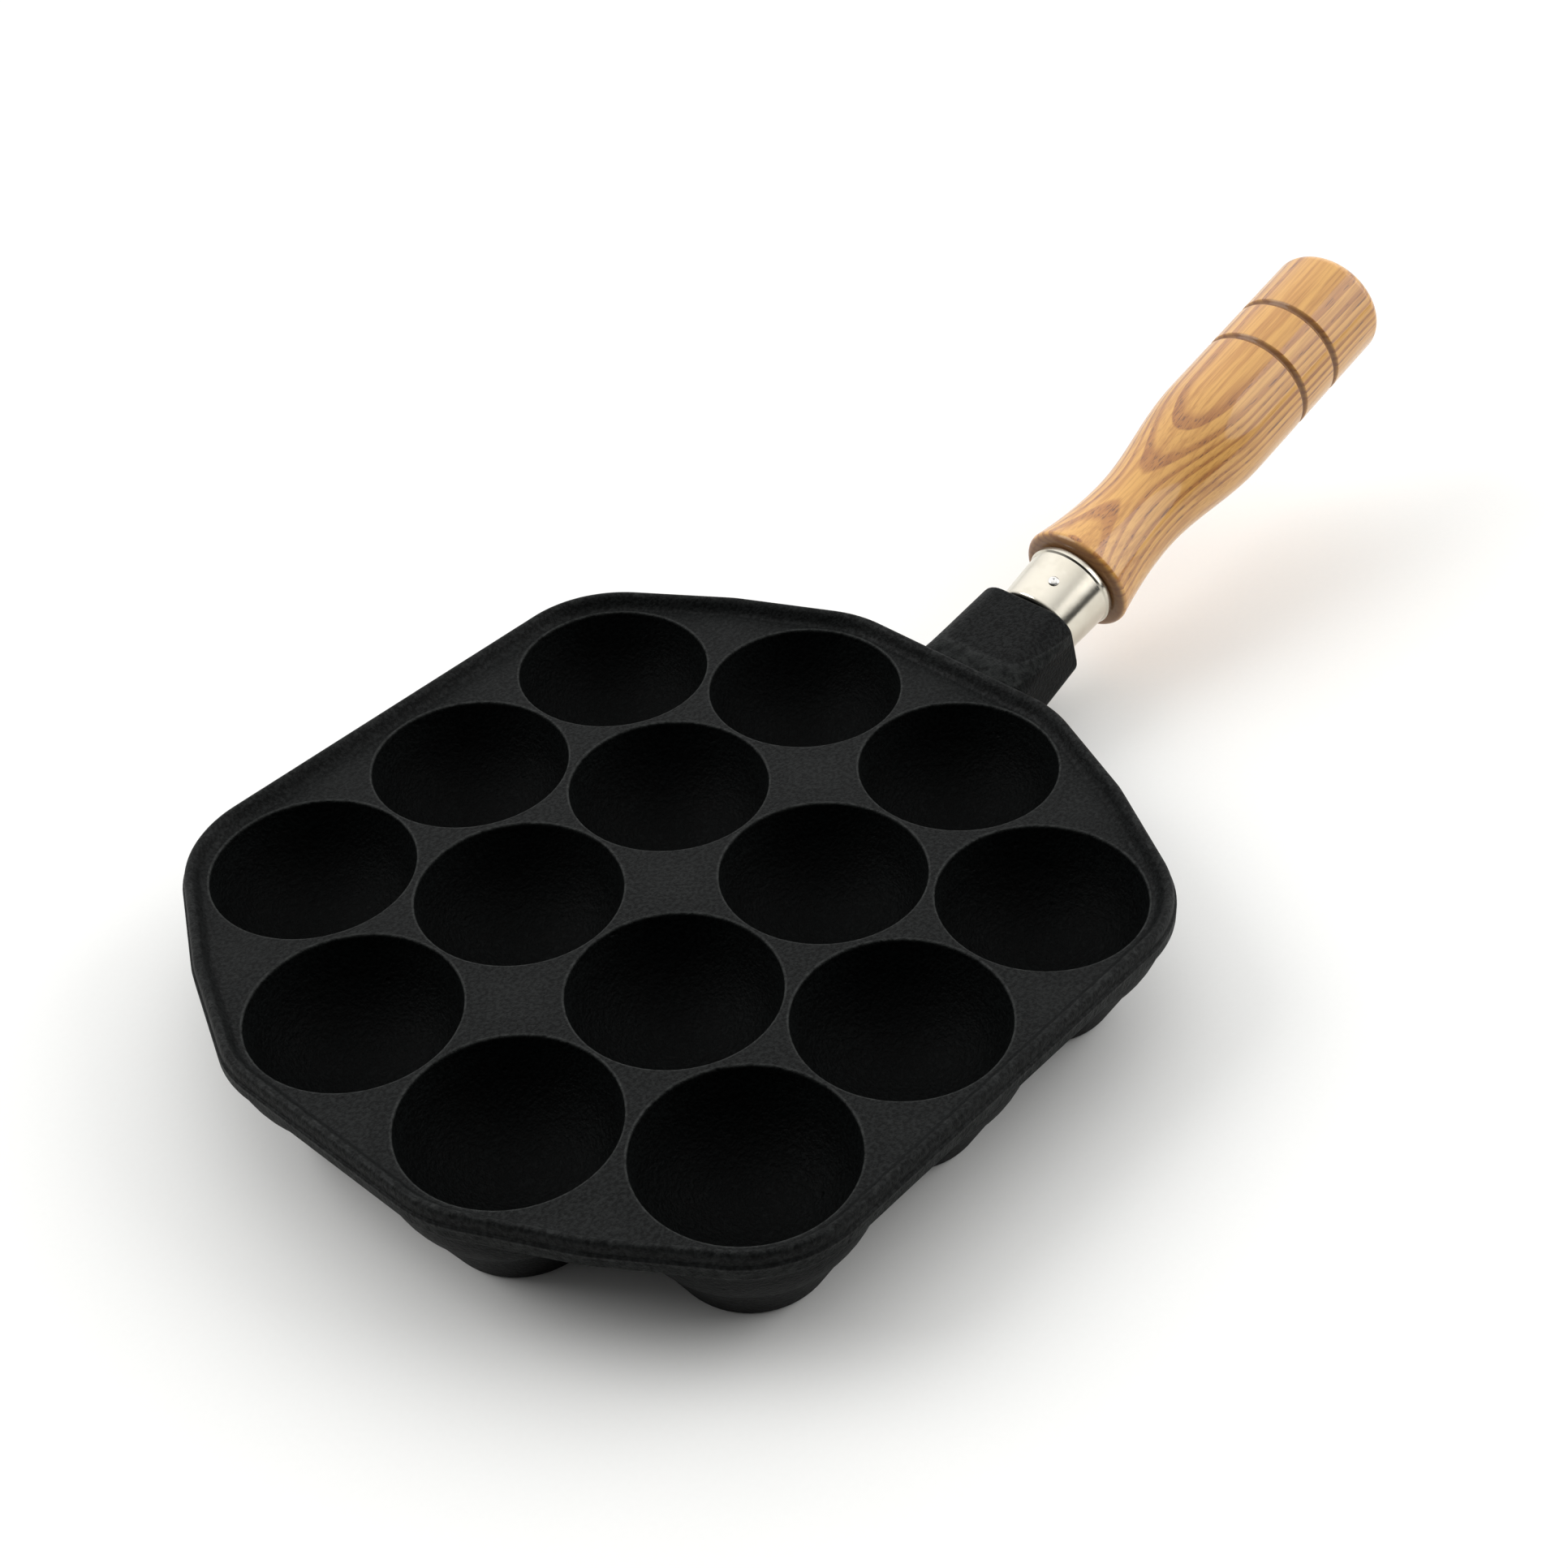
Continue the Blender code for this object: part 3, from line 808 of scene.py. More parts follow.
@dataclass(frozen=True)
class LacqueredWood:
    """Ring-porous hardwood under clear lacquer, with painted shade in its grooves and at its front
    edge.
    """

    light: Colour = (0.700, 0.365, 0.078)
    dark: Colour = (0.400, 0.140, 0.022)
    pore: Colour = (0.145, 0.048, 0.010)
    # The brown of the painted shade in the grooves and at the front edge.
    painted_shade_colour: Colour = (0.190, 0.085, 0.035)
    ring_turn: float = math.radians(-5.0)
    ring_tilt: float = 0.014
    ring_reference: float = 106.0 * MM
    rings: tuple[float, ...] = (
        -13.6, -11.7, -9.9, -8.0, -6.3, -4.2, -2.4, -0.4, 1.5, 3.3, 5.24, 7.36, 8.8, 10.1, 12.05,
    )
    ring_span: float = 14.2
    # How dark a ring is, as (share of its width, darkness)
    ring_zones: tuple[Point, ...] = ((0.0, 1.0), (0.28, 0.85), (0.46, 0.14), (0.98, 0.0))

    def make(self, layout: PanLayout, painted_shade_places: Sequence[Point]) -> bpy.types.Material:
        """Mixes the material.

        Args:
            layout: Where the handle's axis is.
            painted_shade_places: Stations along the axis that are darkened as painted shade, each with
                its half width.

        Returns:
            The material.
        """
        recipe = Recipe(bpy.data.materials.new("ring_porous_wood"))
        place = recipe.coordinates(layout.handle())
        down, side, along = recipe.axes(place)
        level = side * math.sin(self.ring_turn) - down * math.cos(self.ring_turn)
        slow = recipe.noise(recipe.stretched(place, (60.0, 60.0, 14.0)), 1.0, 2.0, 0.5)
        quick = recipe.noise(recipe.stretched(place, (420.0, 420.0, 40.0)), 1.0, 2.0, 0.5)
        height = level + (along - self.ring_reference) * self.ring_tilt
        height = height / MM + (slow - 0.5) * 0.9 + (quick - 0.5) * 0.22
        share = height / (2 * self.ring_span) + 0.5

        stops = []
        for start, end in zip(self.rings, (*self.rings[1:], self.ring_span)):
            width = end - start
            for into, dark in self.ring_zones:
                stops.append((0.5 + (start + into * width) / (2 * self.ring_span), dark))
        upper = recipe.ramp(share, stops[-RAMP_LIMIT:])
        early = recipe.signal("ShaderNodeSeparateColor", {}, {"Color": upper}, 0)

        fibres = recipe.noise(recipe.stretched(place, (2600.0, 2600.0, 90.0)), 1.0, 3.0, 0.6)
        streaks = recipe.noise(recipe.stretched(place, (900.0, 900.0, 30.0)), 1.0, 2.0, 0.5)
        vessels = recipe.noise(recipe.stretched(place, (3600.0, 3600.0, 240.0)), 1.0, 1.0, 0.5)
        pores = vessels.rise(0.57, 0.66) * early.rise(0.55, 0.95)

        tint = recipe.mixed("MIX", self.light, self.dark, early * 0.85)
        tint = tint.times((0.70, 0.56, 0.42), streaks.rise(0.42, 0.72) * 0.75)
        tint = tint.times((0.72, 0.62, 0.50), fibres.rise(0.45, 0.75) * 0.8)
        tint = tint.toward(self.pore, pores * 0.85)
        # Painted shade: the grooves and the grip's front edge, where it meets the sleeve, are darkened
        # towards a brown.
        painted_shade = None
        for station, half_width in painted_shade_places:
            band = abs(along - station).rise(half_width * 1.35, half_width * 0.55)
            painted_shade = band if painted_shade is None else painted_shade.most(band)
        tint = tint.toward(self.painted_shade_colour, painted_shade * 0.82)
        relief = (fibres - 0.5) * 0.12 - pores * 0.5 - painted_shade * 0.1
        return recipe.serve(
            {
                "Base Color": tint,
                "Roughness": 0.42 + fibres * 0.12 + painted_shade * 0.12,
                "Coat Weight": 0.7 - painted_shade * 0.25,
                "Coat Roughness": 0.07,
                "Coat IOR": 1.5,
                "Normal": recipe.bump(relief, 0.035 * MM),
            }
        )


@dataclass(frozen=True)
class Steel:
    """Turned or plated steel."""

    name: str
    colour: Colour
    roughness: float
    turning_height: float
    spots: float = 0.0

    def make(self, layout: PanLayout) -> bpy.types.Material:
        """Mixes the material.

        Args:
            layout: Where the handle's axis is.

        Returns:
            The material.
        """
        recipe = Recipe(bpy.data.materials.new(self.name))
        place = recipe.coordinates(layout.handle())
        lines = recipe.noise(recipe.stretched(place, (40.0, 40.0, 9000.0)), 1.0, 2.0, 0.6)
        smears = recipe.noise(place, 160.0, 3.0, 0.6)
        grains = recipe.noise(place, 1500.0, 3.0, 0.6)
        tint = recipe.mixed("MIX", self.colour, (0.40, 0.38, 0.34), grains.rise(0.5, 0.8) * self.spots)
        tint = tint.times((0.90, 0.89, 0.87), smears.rise(0.4, 0.7) * 0.8)
        roughness = self.roughness + (smears - 0.5) * 0.12 + (lines - 0.5) * 0.08
        return recipe.serve(
            {
                "Base Color": tint,
                "Roughness": roughness,
                "Metallic": 1.0,
                "Normal": recipe.bump(lines + grains * 0.3, self.turning_height),
            }
        )


@dataclass(frozen=True)
class StudioFloor:
    """Pale floor that keeps the pan's shadow and runs out into white."""

    colour: Colour = (0.86, 0.86, 0.845)
    lift: float = 0.006

    def make(self) -> bpy.types.Material:
        """Mixes the material, with a lift that only the lens and reflections see."""
        recipe = Recipe(bpy.data.materials.new("pale_floor"))
        path = recipe.node("ShaderNodeLightPath", {}, {})
        seen = Signal(recipe, path.outputs["Is Camera Ray"]).most(
            Signal(recipe, path.outputs["Is Glossy Ray"])
        )
        place = recipe.node("ShaderNodeTexCoord", {}, {}).outputs["Object"]
        cloth = recipe.noise(place, 900.0, 2.0, 0.5)
        tint = recipe.mixed("MIX", self.colour, (0.84, 0.84, 0.825), cloth)
        matte = recipe.node("ShaderNodeBsdfDiffuse", {}, {"Color": tint})
        glow = recipe.node("ShaderNodeEmission", {}, {"Strength": seen * self.lift})
        both = recipe.node("ShaderNodeAddShader", {}, {0: matte.outputs[0], 1: glow.outputs[0]})
        recipe.node("ShaderNodeOutputMaterial", {}, {"Surface": both.outputs[0]})
        return recipe.owner


# ---------------------------------------------------------------------------------------------
# Sub-assemblies
# ---------------------------------------------------------------------------------------------


@dataclass
class Piece:
    """What every sub-assembly shares: how a modelled object becomes a piece of the frame."""

    layout: PanLayout

    def deliver(
        self,
        piece: bpy.types.Object,
        finish: bpy.types.Material,
        body: Body,
        slot: Slot,
        node: str,
    ) -> bpy.types.Object:
        """slot: Not used. The record's slot of its finish.
            node: The CAD node that it stands for.

        Returns:
            The same object.
        """
        pick_up(piece)
        bpy.ops.object.shade_smooth_by_angle(angle=SHARP_ANGLE)
        modifier = piece.modifiers.new("even_shading", "WEIGHTED_NORMAL")
        modifier.keep_sharp = True
        bpy.ops.object.modifier_apply(modifier=modifier.name)
        piece.data.materials.clear()
        piece.data.materials.append(finish)
        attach(piece, body.value)
        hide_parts(node)
        triangles = sum(len(face.vertices) - 2 for face in piece.data.polygons)
        LOG.info("%s: %d triangles, rides on %s", piece.name, triangles, body.value)
        return piece


@dataclass
class PanCasting(Piece):
    """The casting: plate, raised lip, fourteen cups and the handle's socket, all in one."""

    rim_sides: int = 128
    cup_sides: int = 64
    cup_rings: int = 20
    cup_wall: float = 4.1 * MM
    ball_drop: float = 4.3 * MM
    crease_drop: float = 13.0 * MM
    crease_rounding: float = 0.24 * MM
    ledge_rounding: float = 0.22 * MM
    crease_width: float = 0.4 * MM
    crease_height: float = 0.3 * MM
    foot_radius: float = 14.0 * MM
    foot_rounding: float = 1.3 * MM
    mouth_rounding: float = 0.42 * MM
    mouth_land: float = 1.0 * MM
    overrun: float = 2.0 * MM
    # Steps (inset, height) in millimetres: over the lip, down the plate's edge, and under it
    lip_steps: tuple[Point, ...] = (
        (0.00, -0.60), (0.00, -0.05), (0.05, 0.14), (0.18, 0.28), (0.36, 0.36), (0.46, 0.48),
        (0.49, 0.80), (0.53, 1.30), (0.62, 1.80), (0.80, 2.26), (1.06, 2.58), (1.38, 2.76),
        (1.72, 2.80), (2.06, 2.66), (2.40, 2.34), (2.72, 1.92), (3.04, 1.42),
        (3.36, 0.92), (3.68, 0.50), (4.00, 0.20), (4.30, 0.04), (4.42, 0.00),
    )
    under_lip_steps: tuple[Point, ...] = (
        (0.00, -1.00), (0.00, -2.25), (0.08, -2.45), (0.24, -2.58), (0.5, -2.62),
    )
    skirt_inset: float = 0.5 * MM
    skirt_top: float = -1.2 * MM
    skirt_steps: tuple[Point, ...] = (
        (0.0, -2.7), (0.10, -2.95), (0.32, -3.12), (0.75, -3.2), (2.7, -3.2), (3.1, -3.16),
        (3.7, -3.08), (4.3, -3.0),
    )
    # Socket: (distance along the axis, half width, half height) in millimetres
    socket_rings: tuple[tuple[float, float, float], ...] = (
        (-12.0, 11.0, 7.0), (-6.0, 17.0, 8.3), (-1.5, 18.5, 8.8), (0.0, 17.0, 8.8),
        (1.5, 15.7, 8.8), (3.0, 14.7, 8.8), (5.0, 13.85, 9.05), (8.0, 13.1, 9.4),
        (13.0, 12.7, 9.4), (20.0, 12.25, 9.4), (26.7, 11.8, 9.4),
    )
    socket_corner: float = 5.2 * MM
    socket_face_rounding: float = 1.0 * MM
    bore_radius: float = 4.3 * MM
    bore_depth: float = 20.0 * MM

    def build(self, finish: bpy.types.Material) -> bpy.types.Object:
        """Models the casting.

        Args:
            finish: Its material.

        Returns:
            The finished piece.
        """
        casting = self.lipped_plate()
        joined = [self.skirt(), self.socket(), *self.at_every_cup(self.cup_shell())]
        carve(casting, Cut.JOIN, joined)
        hollows = [self.bore(), *self.at_every_cup(self.cup_hollow())]
        carve(casting, Cut.TAKE_AWAY, hollows)
        self.soften_mouths(casting)
        rename(casting, "cast_pan")
        stand_at(casting, self.layout.pan())
        return self.deliver(casting, finish, Body.PAN, Slot.CAST_IRON, "takoyaki_pan_casting")

    def outline_solid(self, name: str, radius: float, low: float, high: float) -> bpy.types.Object:
        """Wraps a slab round discs at the rim's centres and leaves it open in edit mode.

        Args:
            name: The slab's name.
            radius: The radius of its corners.
            low: The height of its lower face.
            high: The height of its upper face.

        Returns:
            The slab.
        """
        put_down_everything()
        discs = []
        for centre in self.layout.rim_centres():
            place = centre + Vector((0.0, 0.0, (low + high) / 2))
            bpy.ops.mesh.primitive_cylinder_add(
                vertices=self.rim_sides, radius=radius, depth=high - low, location=place
            )
            discs.append(bpy.context.object)
        for disc in discs:
            disc.select_set(True)
        bpy.ops.object.join()
        slab = rename(bpy.context.object, name)
        settle()
        edit(slab)
        bpy.ops.mesh.convex_hull()
        select_all()
        bpy.ops.mesh.dissolve_limited(angle_limit=math.radians(0.3))
        return slab

    @staticmethod
    def step_face(steps: Sequence[Point], start: Point, upwards: bool) -> None:
        """Insets and raises the selected face step by step.

        Args:
            steps: Where it goes, as (inset, height) in millimetres.
            start: Where it is.
            upwards: Whether the face looks up.
        """
        inset, height = start
        for next_inset, next_height in steps:
            rise = (next_height - height) * MM
            thickness = (next_inset - inset) * MM
            if thickness > 0.0:
                bpy.ops.mesh.inset(thickness=thickness, depth=rise if upwards else -rise)
            else:
                bpy.ops.mesh.extrude_region_move(TRANSFORM_OT_translate={"value": (0.0, 0.0, rise)})
            inset, height = next_inset, next_height

    def lipped_plate(self) -> bpy.types.Object:
        """Models the plate with its raised, rounded lip."""
        low, high = self.under_lip_steps[0][1], self.lip_steps[0][1]
        plate = self.outline_solid("plate", self.layout.rim_radius, low * MM, high * MM)
        choose_faces(plate, lambda centre, normal: normal.z > FACING)
        self.step_face(self.lip_steps[1:], self.lip_steps[0], True)
        floor = low * MM + MERGE_DISTANCE
        choose_faces(plate, lambda centre, normal: normal.z < -FACING and centre.z < floor)
        self.step_face(self.under_lip_steps[1:], self.under_lip_steps[0], False)
        return close_up(plate)

    def skirt(self) -> bpy.types.Object:
        """Models the short skirt that thickens the plate's edge from below."""
        radius = self.layout.rim_radius - self.skirt_inset
        first = self.skirt_steps[0][1]
        skirt = self.outline_solid("skirt", radius, first * MM, self.skirt_top)
        choose_faces(skirt, lambda centre, normal: normal.z < -FACING)
        self.step_face(self.skirt_steps[1:], self.skirt_steps[0], False)
        return close_up(skirt)

    def at_every_cup(self, pattern: bpy.types.Object) -> list[bpy.types.Object]:
        """Copies a solid to the other cups and moves the first one to its own cup.

        Args:
            pattern: The solid, about the pan's middle.

        Returns:
            One solid for each cup.
        """
        places = self.layout.cups()
        copies = [copy_to(pattern, place) for place in places[1:]]
        stand_at(pattern, Matrix.Translation(places[0]))
        return [pattern, *copies]

    def cup_shell(self) -> bpy.types.Object:
        """Turns the outside of one cup: a ball, a crease below it and a taper down to the flat foot."""
        outer = self.layout.mouth_radius + self.cup_wall
        foot_drop = self.layout.plate_height
        start = math.asin(self.ball_drop / outer)
        crease = math.asin(self.crease_drop / outer)
        ball = arc((0.0, 0.0), (outer, outer), -start, -crease, 10)
        ledge = (ball[-1][0] - self.crease_width, ball[-1][1] - self.crease_height)
        foot = (self.foot_radius, -foot_drop)
        profile = [(0.0, -1.5 * MM), (outer + 0.2 * MM, -2.4 * MM), (outer + 0.1 * MM, -3.2 * MM)]
        profile += ball[:-1]
        profile += rounded_corner(ball[-2], ball[-1], ledge, self.crease_rounding, 4)
        profile += rounded_corner(ball[-1], ledge, foot, self.ledge_rounding, 3)
        profile += rounded_corner(ledge, foot, (0.0, -foot_drop), self.foot_rounding, 6)
        profile.append((0.0, -foot_drop))
        shell = turn_on_lathe("cup_shell", profile, self.cup_sides)
        return stand_at(shell, Matrix.Rotation(math.pi / self.cup_sides, 4, "Z"))

    def cup_hollow(self) -> bpy.types.Object:
        """Turns the inside of one cup."""
        mouth = self.layout.mouth_radius
        depth = self.layout.cup_depth
        first = math.asin(self.mouth_land / depth)
        profile = [(0.0, self.overrun), (mouth, self.overrun)]
        profile += arc((0.0, 0.0), (mouth, depth), -first, -math.pi / 2, self.cup_rings)[:-1]
        profile.append((0.0, -depth))
        return turn_on_lathe("cup_hollow", profile, self.cup_sides)

    def soften_mouths(self, casting: bpy.types.Object) -> None:
        """Rounds the edges where the cups open in the plate.

        Args:
            casting: The casting, about the pan's middle.
        """
        cups, mouth = self.layout.cups(), self.layout.mouth_radius
        slack = 0.2 * MM

        def on_mouth(point: Vector) -> bool:
            """Tells whether a point lies on the edge of a cup."""
            if abs(point.z) > slack / 10:
                return False
            return any(abs((point.xy - cup.xy).length - mouth) < slack for cup in cups)

        edit(casting)
        choose_edges(casting, lambda a, b: on_mouth(a) and on_mouth(b) and (a - b).length < 3 * MM)
        bpy.ops.mesh.bevel(offset=self.mouth_rounding, segments=4, affect="EDGES", clamp_overlap=False)
        close_up(casting)

    def socket(self) -> bpy.types.Object:
        """Models the socket that the handle screws into, along its own axis."""
        first = self.socket_rings[0]
        put_down_everything()
        bpy.ops.mesh.primitive_plane_add(size=2.0 * MM, location=(0.0, 0.0, first[0] * MM))
        socket = rename(bpy.context.object, "socket")
        settle()
        edit(socket)
        bpy.ops.transform.resize(value=(first[2], first[1], 1.0), center_override=(0.0, 0.0, 0.0))
        for before, ring in zip(self.socket_rings, self.socket_rings[1:]):
            lift = (0.0, 0.0, (ring[0] - before[0]) * MM)
            bpy.ops.mesh.extrude_region_move(TRANSFORM_OT_translate={"value": lift})
            size = (ring[2] / before[2], ring[1] / before[1], 1.0)
            bpy.ops.transform.resize(value=size, center_override=(0.0, 0.0, 0.0))
        select_all()
        bpy.ops.mesh.normals_make_consistent(inside=False)
        choose_edges(socket, lambda a, b: abs(a.z - b.z) > MERGE_DISTANCE)
        bpy.ops.mesh.bevel(offset=self.socket_corner, segments=8, affect="EDGES", clamp_overlap=False)
        top = self.socket_rings[-1][0] * MM - MERGE_DISTANCE
        choose_edges(socket, lambda a, b: a.z > top and b.z > top)
        bpy.ops.mesh.bevel(offset=self.socket_face_rounding, segments=4, affect="EDGES")
        close_up(socket)
        return stand_at(socket, self.layout.pan().inverted() @ self.layout.handle())

    def bore(self) -> bpy.types.Object:
        """Turns the hole for the bolt, with a small chamfer at its mouth."""
        face = self.socket_rings[-1][0] * MM
        radius = self.bore_radius
        end = face - self.bore_depth
        profile = [(0.0, face + MM), (radius + 1.6 * MM, face + MM), (radius, face - 0.6 * MM)]
        profile += [(radius, end), (0.0, end - radius / 2)]
        bore = turn_on_lathe("bolt_bore", profile, self.cup_sides)
        return stand_at(bore, self.layout.pan().inverted() @ self.layout.handle())


@dataclass
class WoodenGrip(Piece):
    """The turned grip with its two grooves and, in its butt, the well for the bolt's head."""

    sides: int = 96
    front: float = 42.0 * MM
    end: float = 148.2 * MM
    front_radius: float = 13.1 * MM
    front_rounding: float = 1.6 * MM
    waist: float = 65.0 * MM
    waist_radius: float = 10.5 * MM
    swell: float = 97.0 * MM
    swell_radius: float = 13.75 * MM
    butt_length: float = 6.0 * MM
    grooves: tuple[float, ...] = (112.8 * MM, 125.6 * MM)
    groove_width: float = 1.9 * MM
    groove_depth: float = 0.8 * MM
    well_radius: float = 8.8 * MM
    well_depth: float = 10.5 * MM
    spigot_front: float = 28.7 * MM
    spigot_radii: tuple[float, float] = (8.3 * MM, 9.0 * MM)
    bore_radius: float = 4.3 * MM
    front_curve: float = 1.8

    def painted_shade_places(self) -> list[tuple[float, float]]:
        """Where the wood is darkened as painted shade, in its grooves and at its front edge, each with
        its half width.
        """
        places = [(station, self.groove_width / 2) for station in self.grooves]
        places.append((self.front - 0.3 * MM, 1.1 * MM))
        return places

    def outer_profile(self) -> list[Point]:
        """The grip's outside from the well's rim to the spigot."""
        butt = self.end - self.butt_length
        rim = math.acos(self.well_radius / self.swell_radius)
        sizes = (self.swell_radius, self.butt_length)
        profile = arc((0.0, butt), sizes, rim, 0.0, 12)
        half, depth = self.groove_width / 2, self.groove_depth
        for station in reversed(self.grooves):
            for along, into in ((1.25, 0.0), (1.02, 0.05), (0.62, 0.5), (0.28, 0.93), (0.0, 1.0)):
                profile.append((self.swell_radius - depth * into, station + half * along))
            for along, into in ((0.28, 0.93), (0.62, 0.5), (1.02, 0.05), (1.25, 0.0)):
                profile.append((self.swell_radius - depth * into, station - half * along))
        steps = 26
        for i in range(steps + 1):
            share = i / steps
            rise = (1 + math.cos(math.pi * share)) / 2
            radius = self.waist_radius + (self.swell_radius - self.waist_radius) * rise
            profile.append((radius, self.swell + (self.waist - self.swell) * share))
        edge = self.front + self.front_rounding
        for i in range(1, steps + 1):
            share = i / steps
            rise = share**self.front_curve
            radius = self.waist_radius + (self.front_radius - self.waist_radius) * rise
            profile.append((radius, self.waist + (edge - self.waist) * share))
        rounding = self.front_rounding
        centre = (self.front_radius - rounding, edge)
        profile += arc(centre, (rounding, rounding), 0.0, -math.pi / 2, 8)[1:]
        return profile

    def build(self, finish: bpy.types.Material, pin_hole: bpy.types.Object) -> bpy.types.Object:
        """Turns the grip.

        Args:
            finish: Its material.
            pin_hole: The solid of the pin's hole, which is used up.

        Returns:
            The finished piece.
        """
        floor = self.end - self.well_depth
        profile = self.outer_profile()
        narrow, wide = self.spigot_radii
        start = self.spigot_front
        profile += [(wide, self.front), (narrow + 0.02 * MM, start + 0.4 * MM)]
        profile += [(narrow - 0.3 * MM, start), (self.bore_radius, start)]
        profile += [(self.bore_radius, floor), (self.well_radius, floor), profile[0]]
        grip = turn_on_lathe("turned_grip", profile, self.sides)
        stand_at(grip, self.layout.handle())
        carve(grip, Cut.TAKE_AWAY, [pin_hole])
        return self.deliver(grip, finish, Body.HANDLE, Slot.LACQUERED_WOOD, "wooden_grip")


@dataclass
class Ferrule(Piece):
    """The steel sleeve between the socket and the grip, and the pin that holds it."""

    sides: int = 96
    front: float = 27.0 * MM
    rear: float = 41.7 * MM
    front_radius: float = 9.5 * MM
    rear_radius: float = 10.2 * MM
    wall: float = 0.9 * MM
    front_wall: float = 1.4 * MM
    rounding: float = 1.0 * MM
    bead_width: float = 1.6 * MM
    bead_height: float = 0.3 * MM
    bore_radius: float = 4.3 * MM
    pin_station: float = 33.5 * MM
    pin_turn: float = math.radians(-13.5)
    pin_shank: float = 0.7 * MM
    pin_length: float = 6.0 * MM
    pin_head_radius: float = 1.2 * MM
    pin_head_height: float = 0.4 * MM
    pin_gap: float = 0.08 * MM
    pin_sides: int = 32

    def radius_at(self, station: float) -> float:
        """The sleeve's radius at a place along the axis."""
        share = (station - self.front) / (self.rear - self.front)
        return self.front_radius + (self.rear_radius - self.front_radius) * share

    def pin_stand(self) -> Matrix:
        """Where the pin stands: its Z points out of the sleeve."""
        outward = Vector((-math.cos(self.pin_turn), math.sin(self.pin_turn), 0.0))
        turn = Vector((0.0, 0.0, 1.0)).rotation_difference(outward).to_matrix().to_4x4()
        return self.layout.handle() @ Matrix.Translation((0.0, 0.0, self.pin_station)) @ turn

    def pin_hole(self) -> bpy.types.Object:
        """Turns the solid of the pin's hole."""
        radius = self.pin_shank + self.pin_gap
        top, low = self.rear_radius + 2.0 * MM, self.radius_at(self.pin_station) - self.pin_length
        profile = [(0.0, top), (radius, top), (radius, low), (0.0, low)]
        return stand_at(turn_on_lathe("pin_hole", profile, self.pin_sides), self.pin_stand())

    def build_sleeve(self, finish: bpy.types.Material) -> bpy.types.Object:
        """Turns the sleeve.

        Args:
            finish: Its material.

        Returns:
            The finished piece.
        """
        bead = self.rear_radius + self.bead_height
        bead_start = self.rear - self.bead_width
        soft = 0.28 * MM
        inner_front, inner_rear = self.front_radius - self.wall, self.rear_radius - self.wall
        profile = [(inner_rear, self.rear), (bead - soft, self.rear), (bead, self.rear - soft)]
        profile += [(bead, bead_start + soft), (bead - soft, bead_start)]
        profile.append((self.radius_at(bead_start), bead_start - 0.1 * MM))
        centre = (self.front_radius - self.rounding, self.front + self.rounding)
        profile += arc(centre, (self.rounding, self.rounding), 0.0, -math.pi / 2, 8)
        profile += [(self.bore_radius, self.front), (self.bore_radius, self.front + self.front_wall)]
        profile += [(inner_front, self.front + self.front_wall), profile[0]]
        sleeve = turn_on_lathe("steel_sleeve", profile, self.sides)
        stand_at(sleeve, self.layout.handle())
        carve(sleeve, Cut.TAKE_AWAY, [self.pin_hole()])
        return self.deliver(sleeve, finish, Body.HANDLE, Slot.BRIGHT_STEEL, "ferrule")

    def build_pin(self, finish: bpy.types.Material) -> bpy.types.Object:
        """Turns the pin, with the dimple that the punch left in its head.

        Args:
            finish: Its material.

        Returns:
            The finished piece.
        """
        seat = self.radius_at(self.pin_station) + self.pin_gap
        sizes = (self.pin_head_radius, self.pin_head_height)
        head = arc((0.0, seat), sizes, math.radians(62.0), 0.0, 7)
        top = seat + self.pin_head_height
        profile = [(0.0, top - 0.24 * MM), (0.22 * MM, top - 0.20 * MM), (0.40 * MM, top - 0.08 * MM)]
        profile += [(0.50 * MM, top - 0.05 * MM), *head[1:], (self.pin_shank, seat)]
        tip = seat - self.pin_length
        profile += [(self.pin_shank, tip + 0.9 * MM), (0.15 * MM, tip), (0.0, tip)]
        pin = stand_at(turn_on_lathe("punched_pin", profile, self.pin_sides), self.pin_stand())
        return self.deliver(pin, finish, Body.HANDLE, Slot.PIN_STEEL, "ferrule_pin")


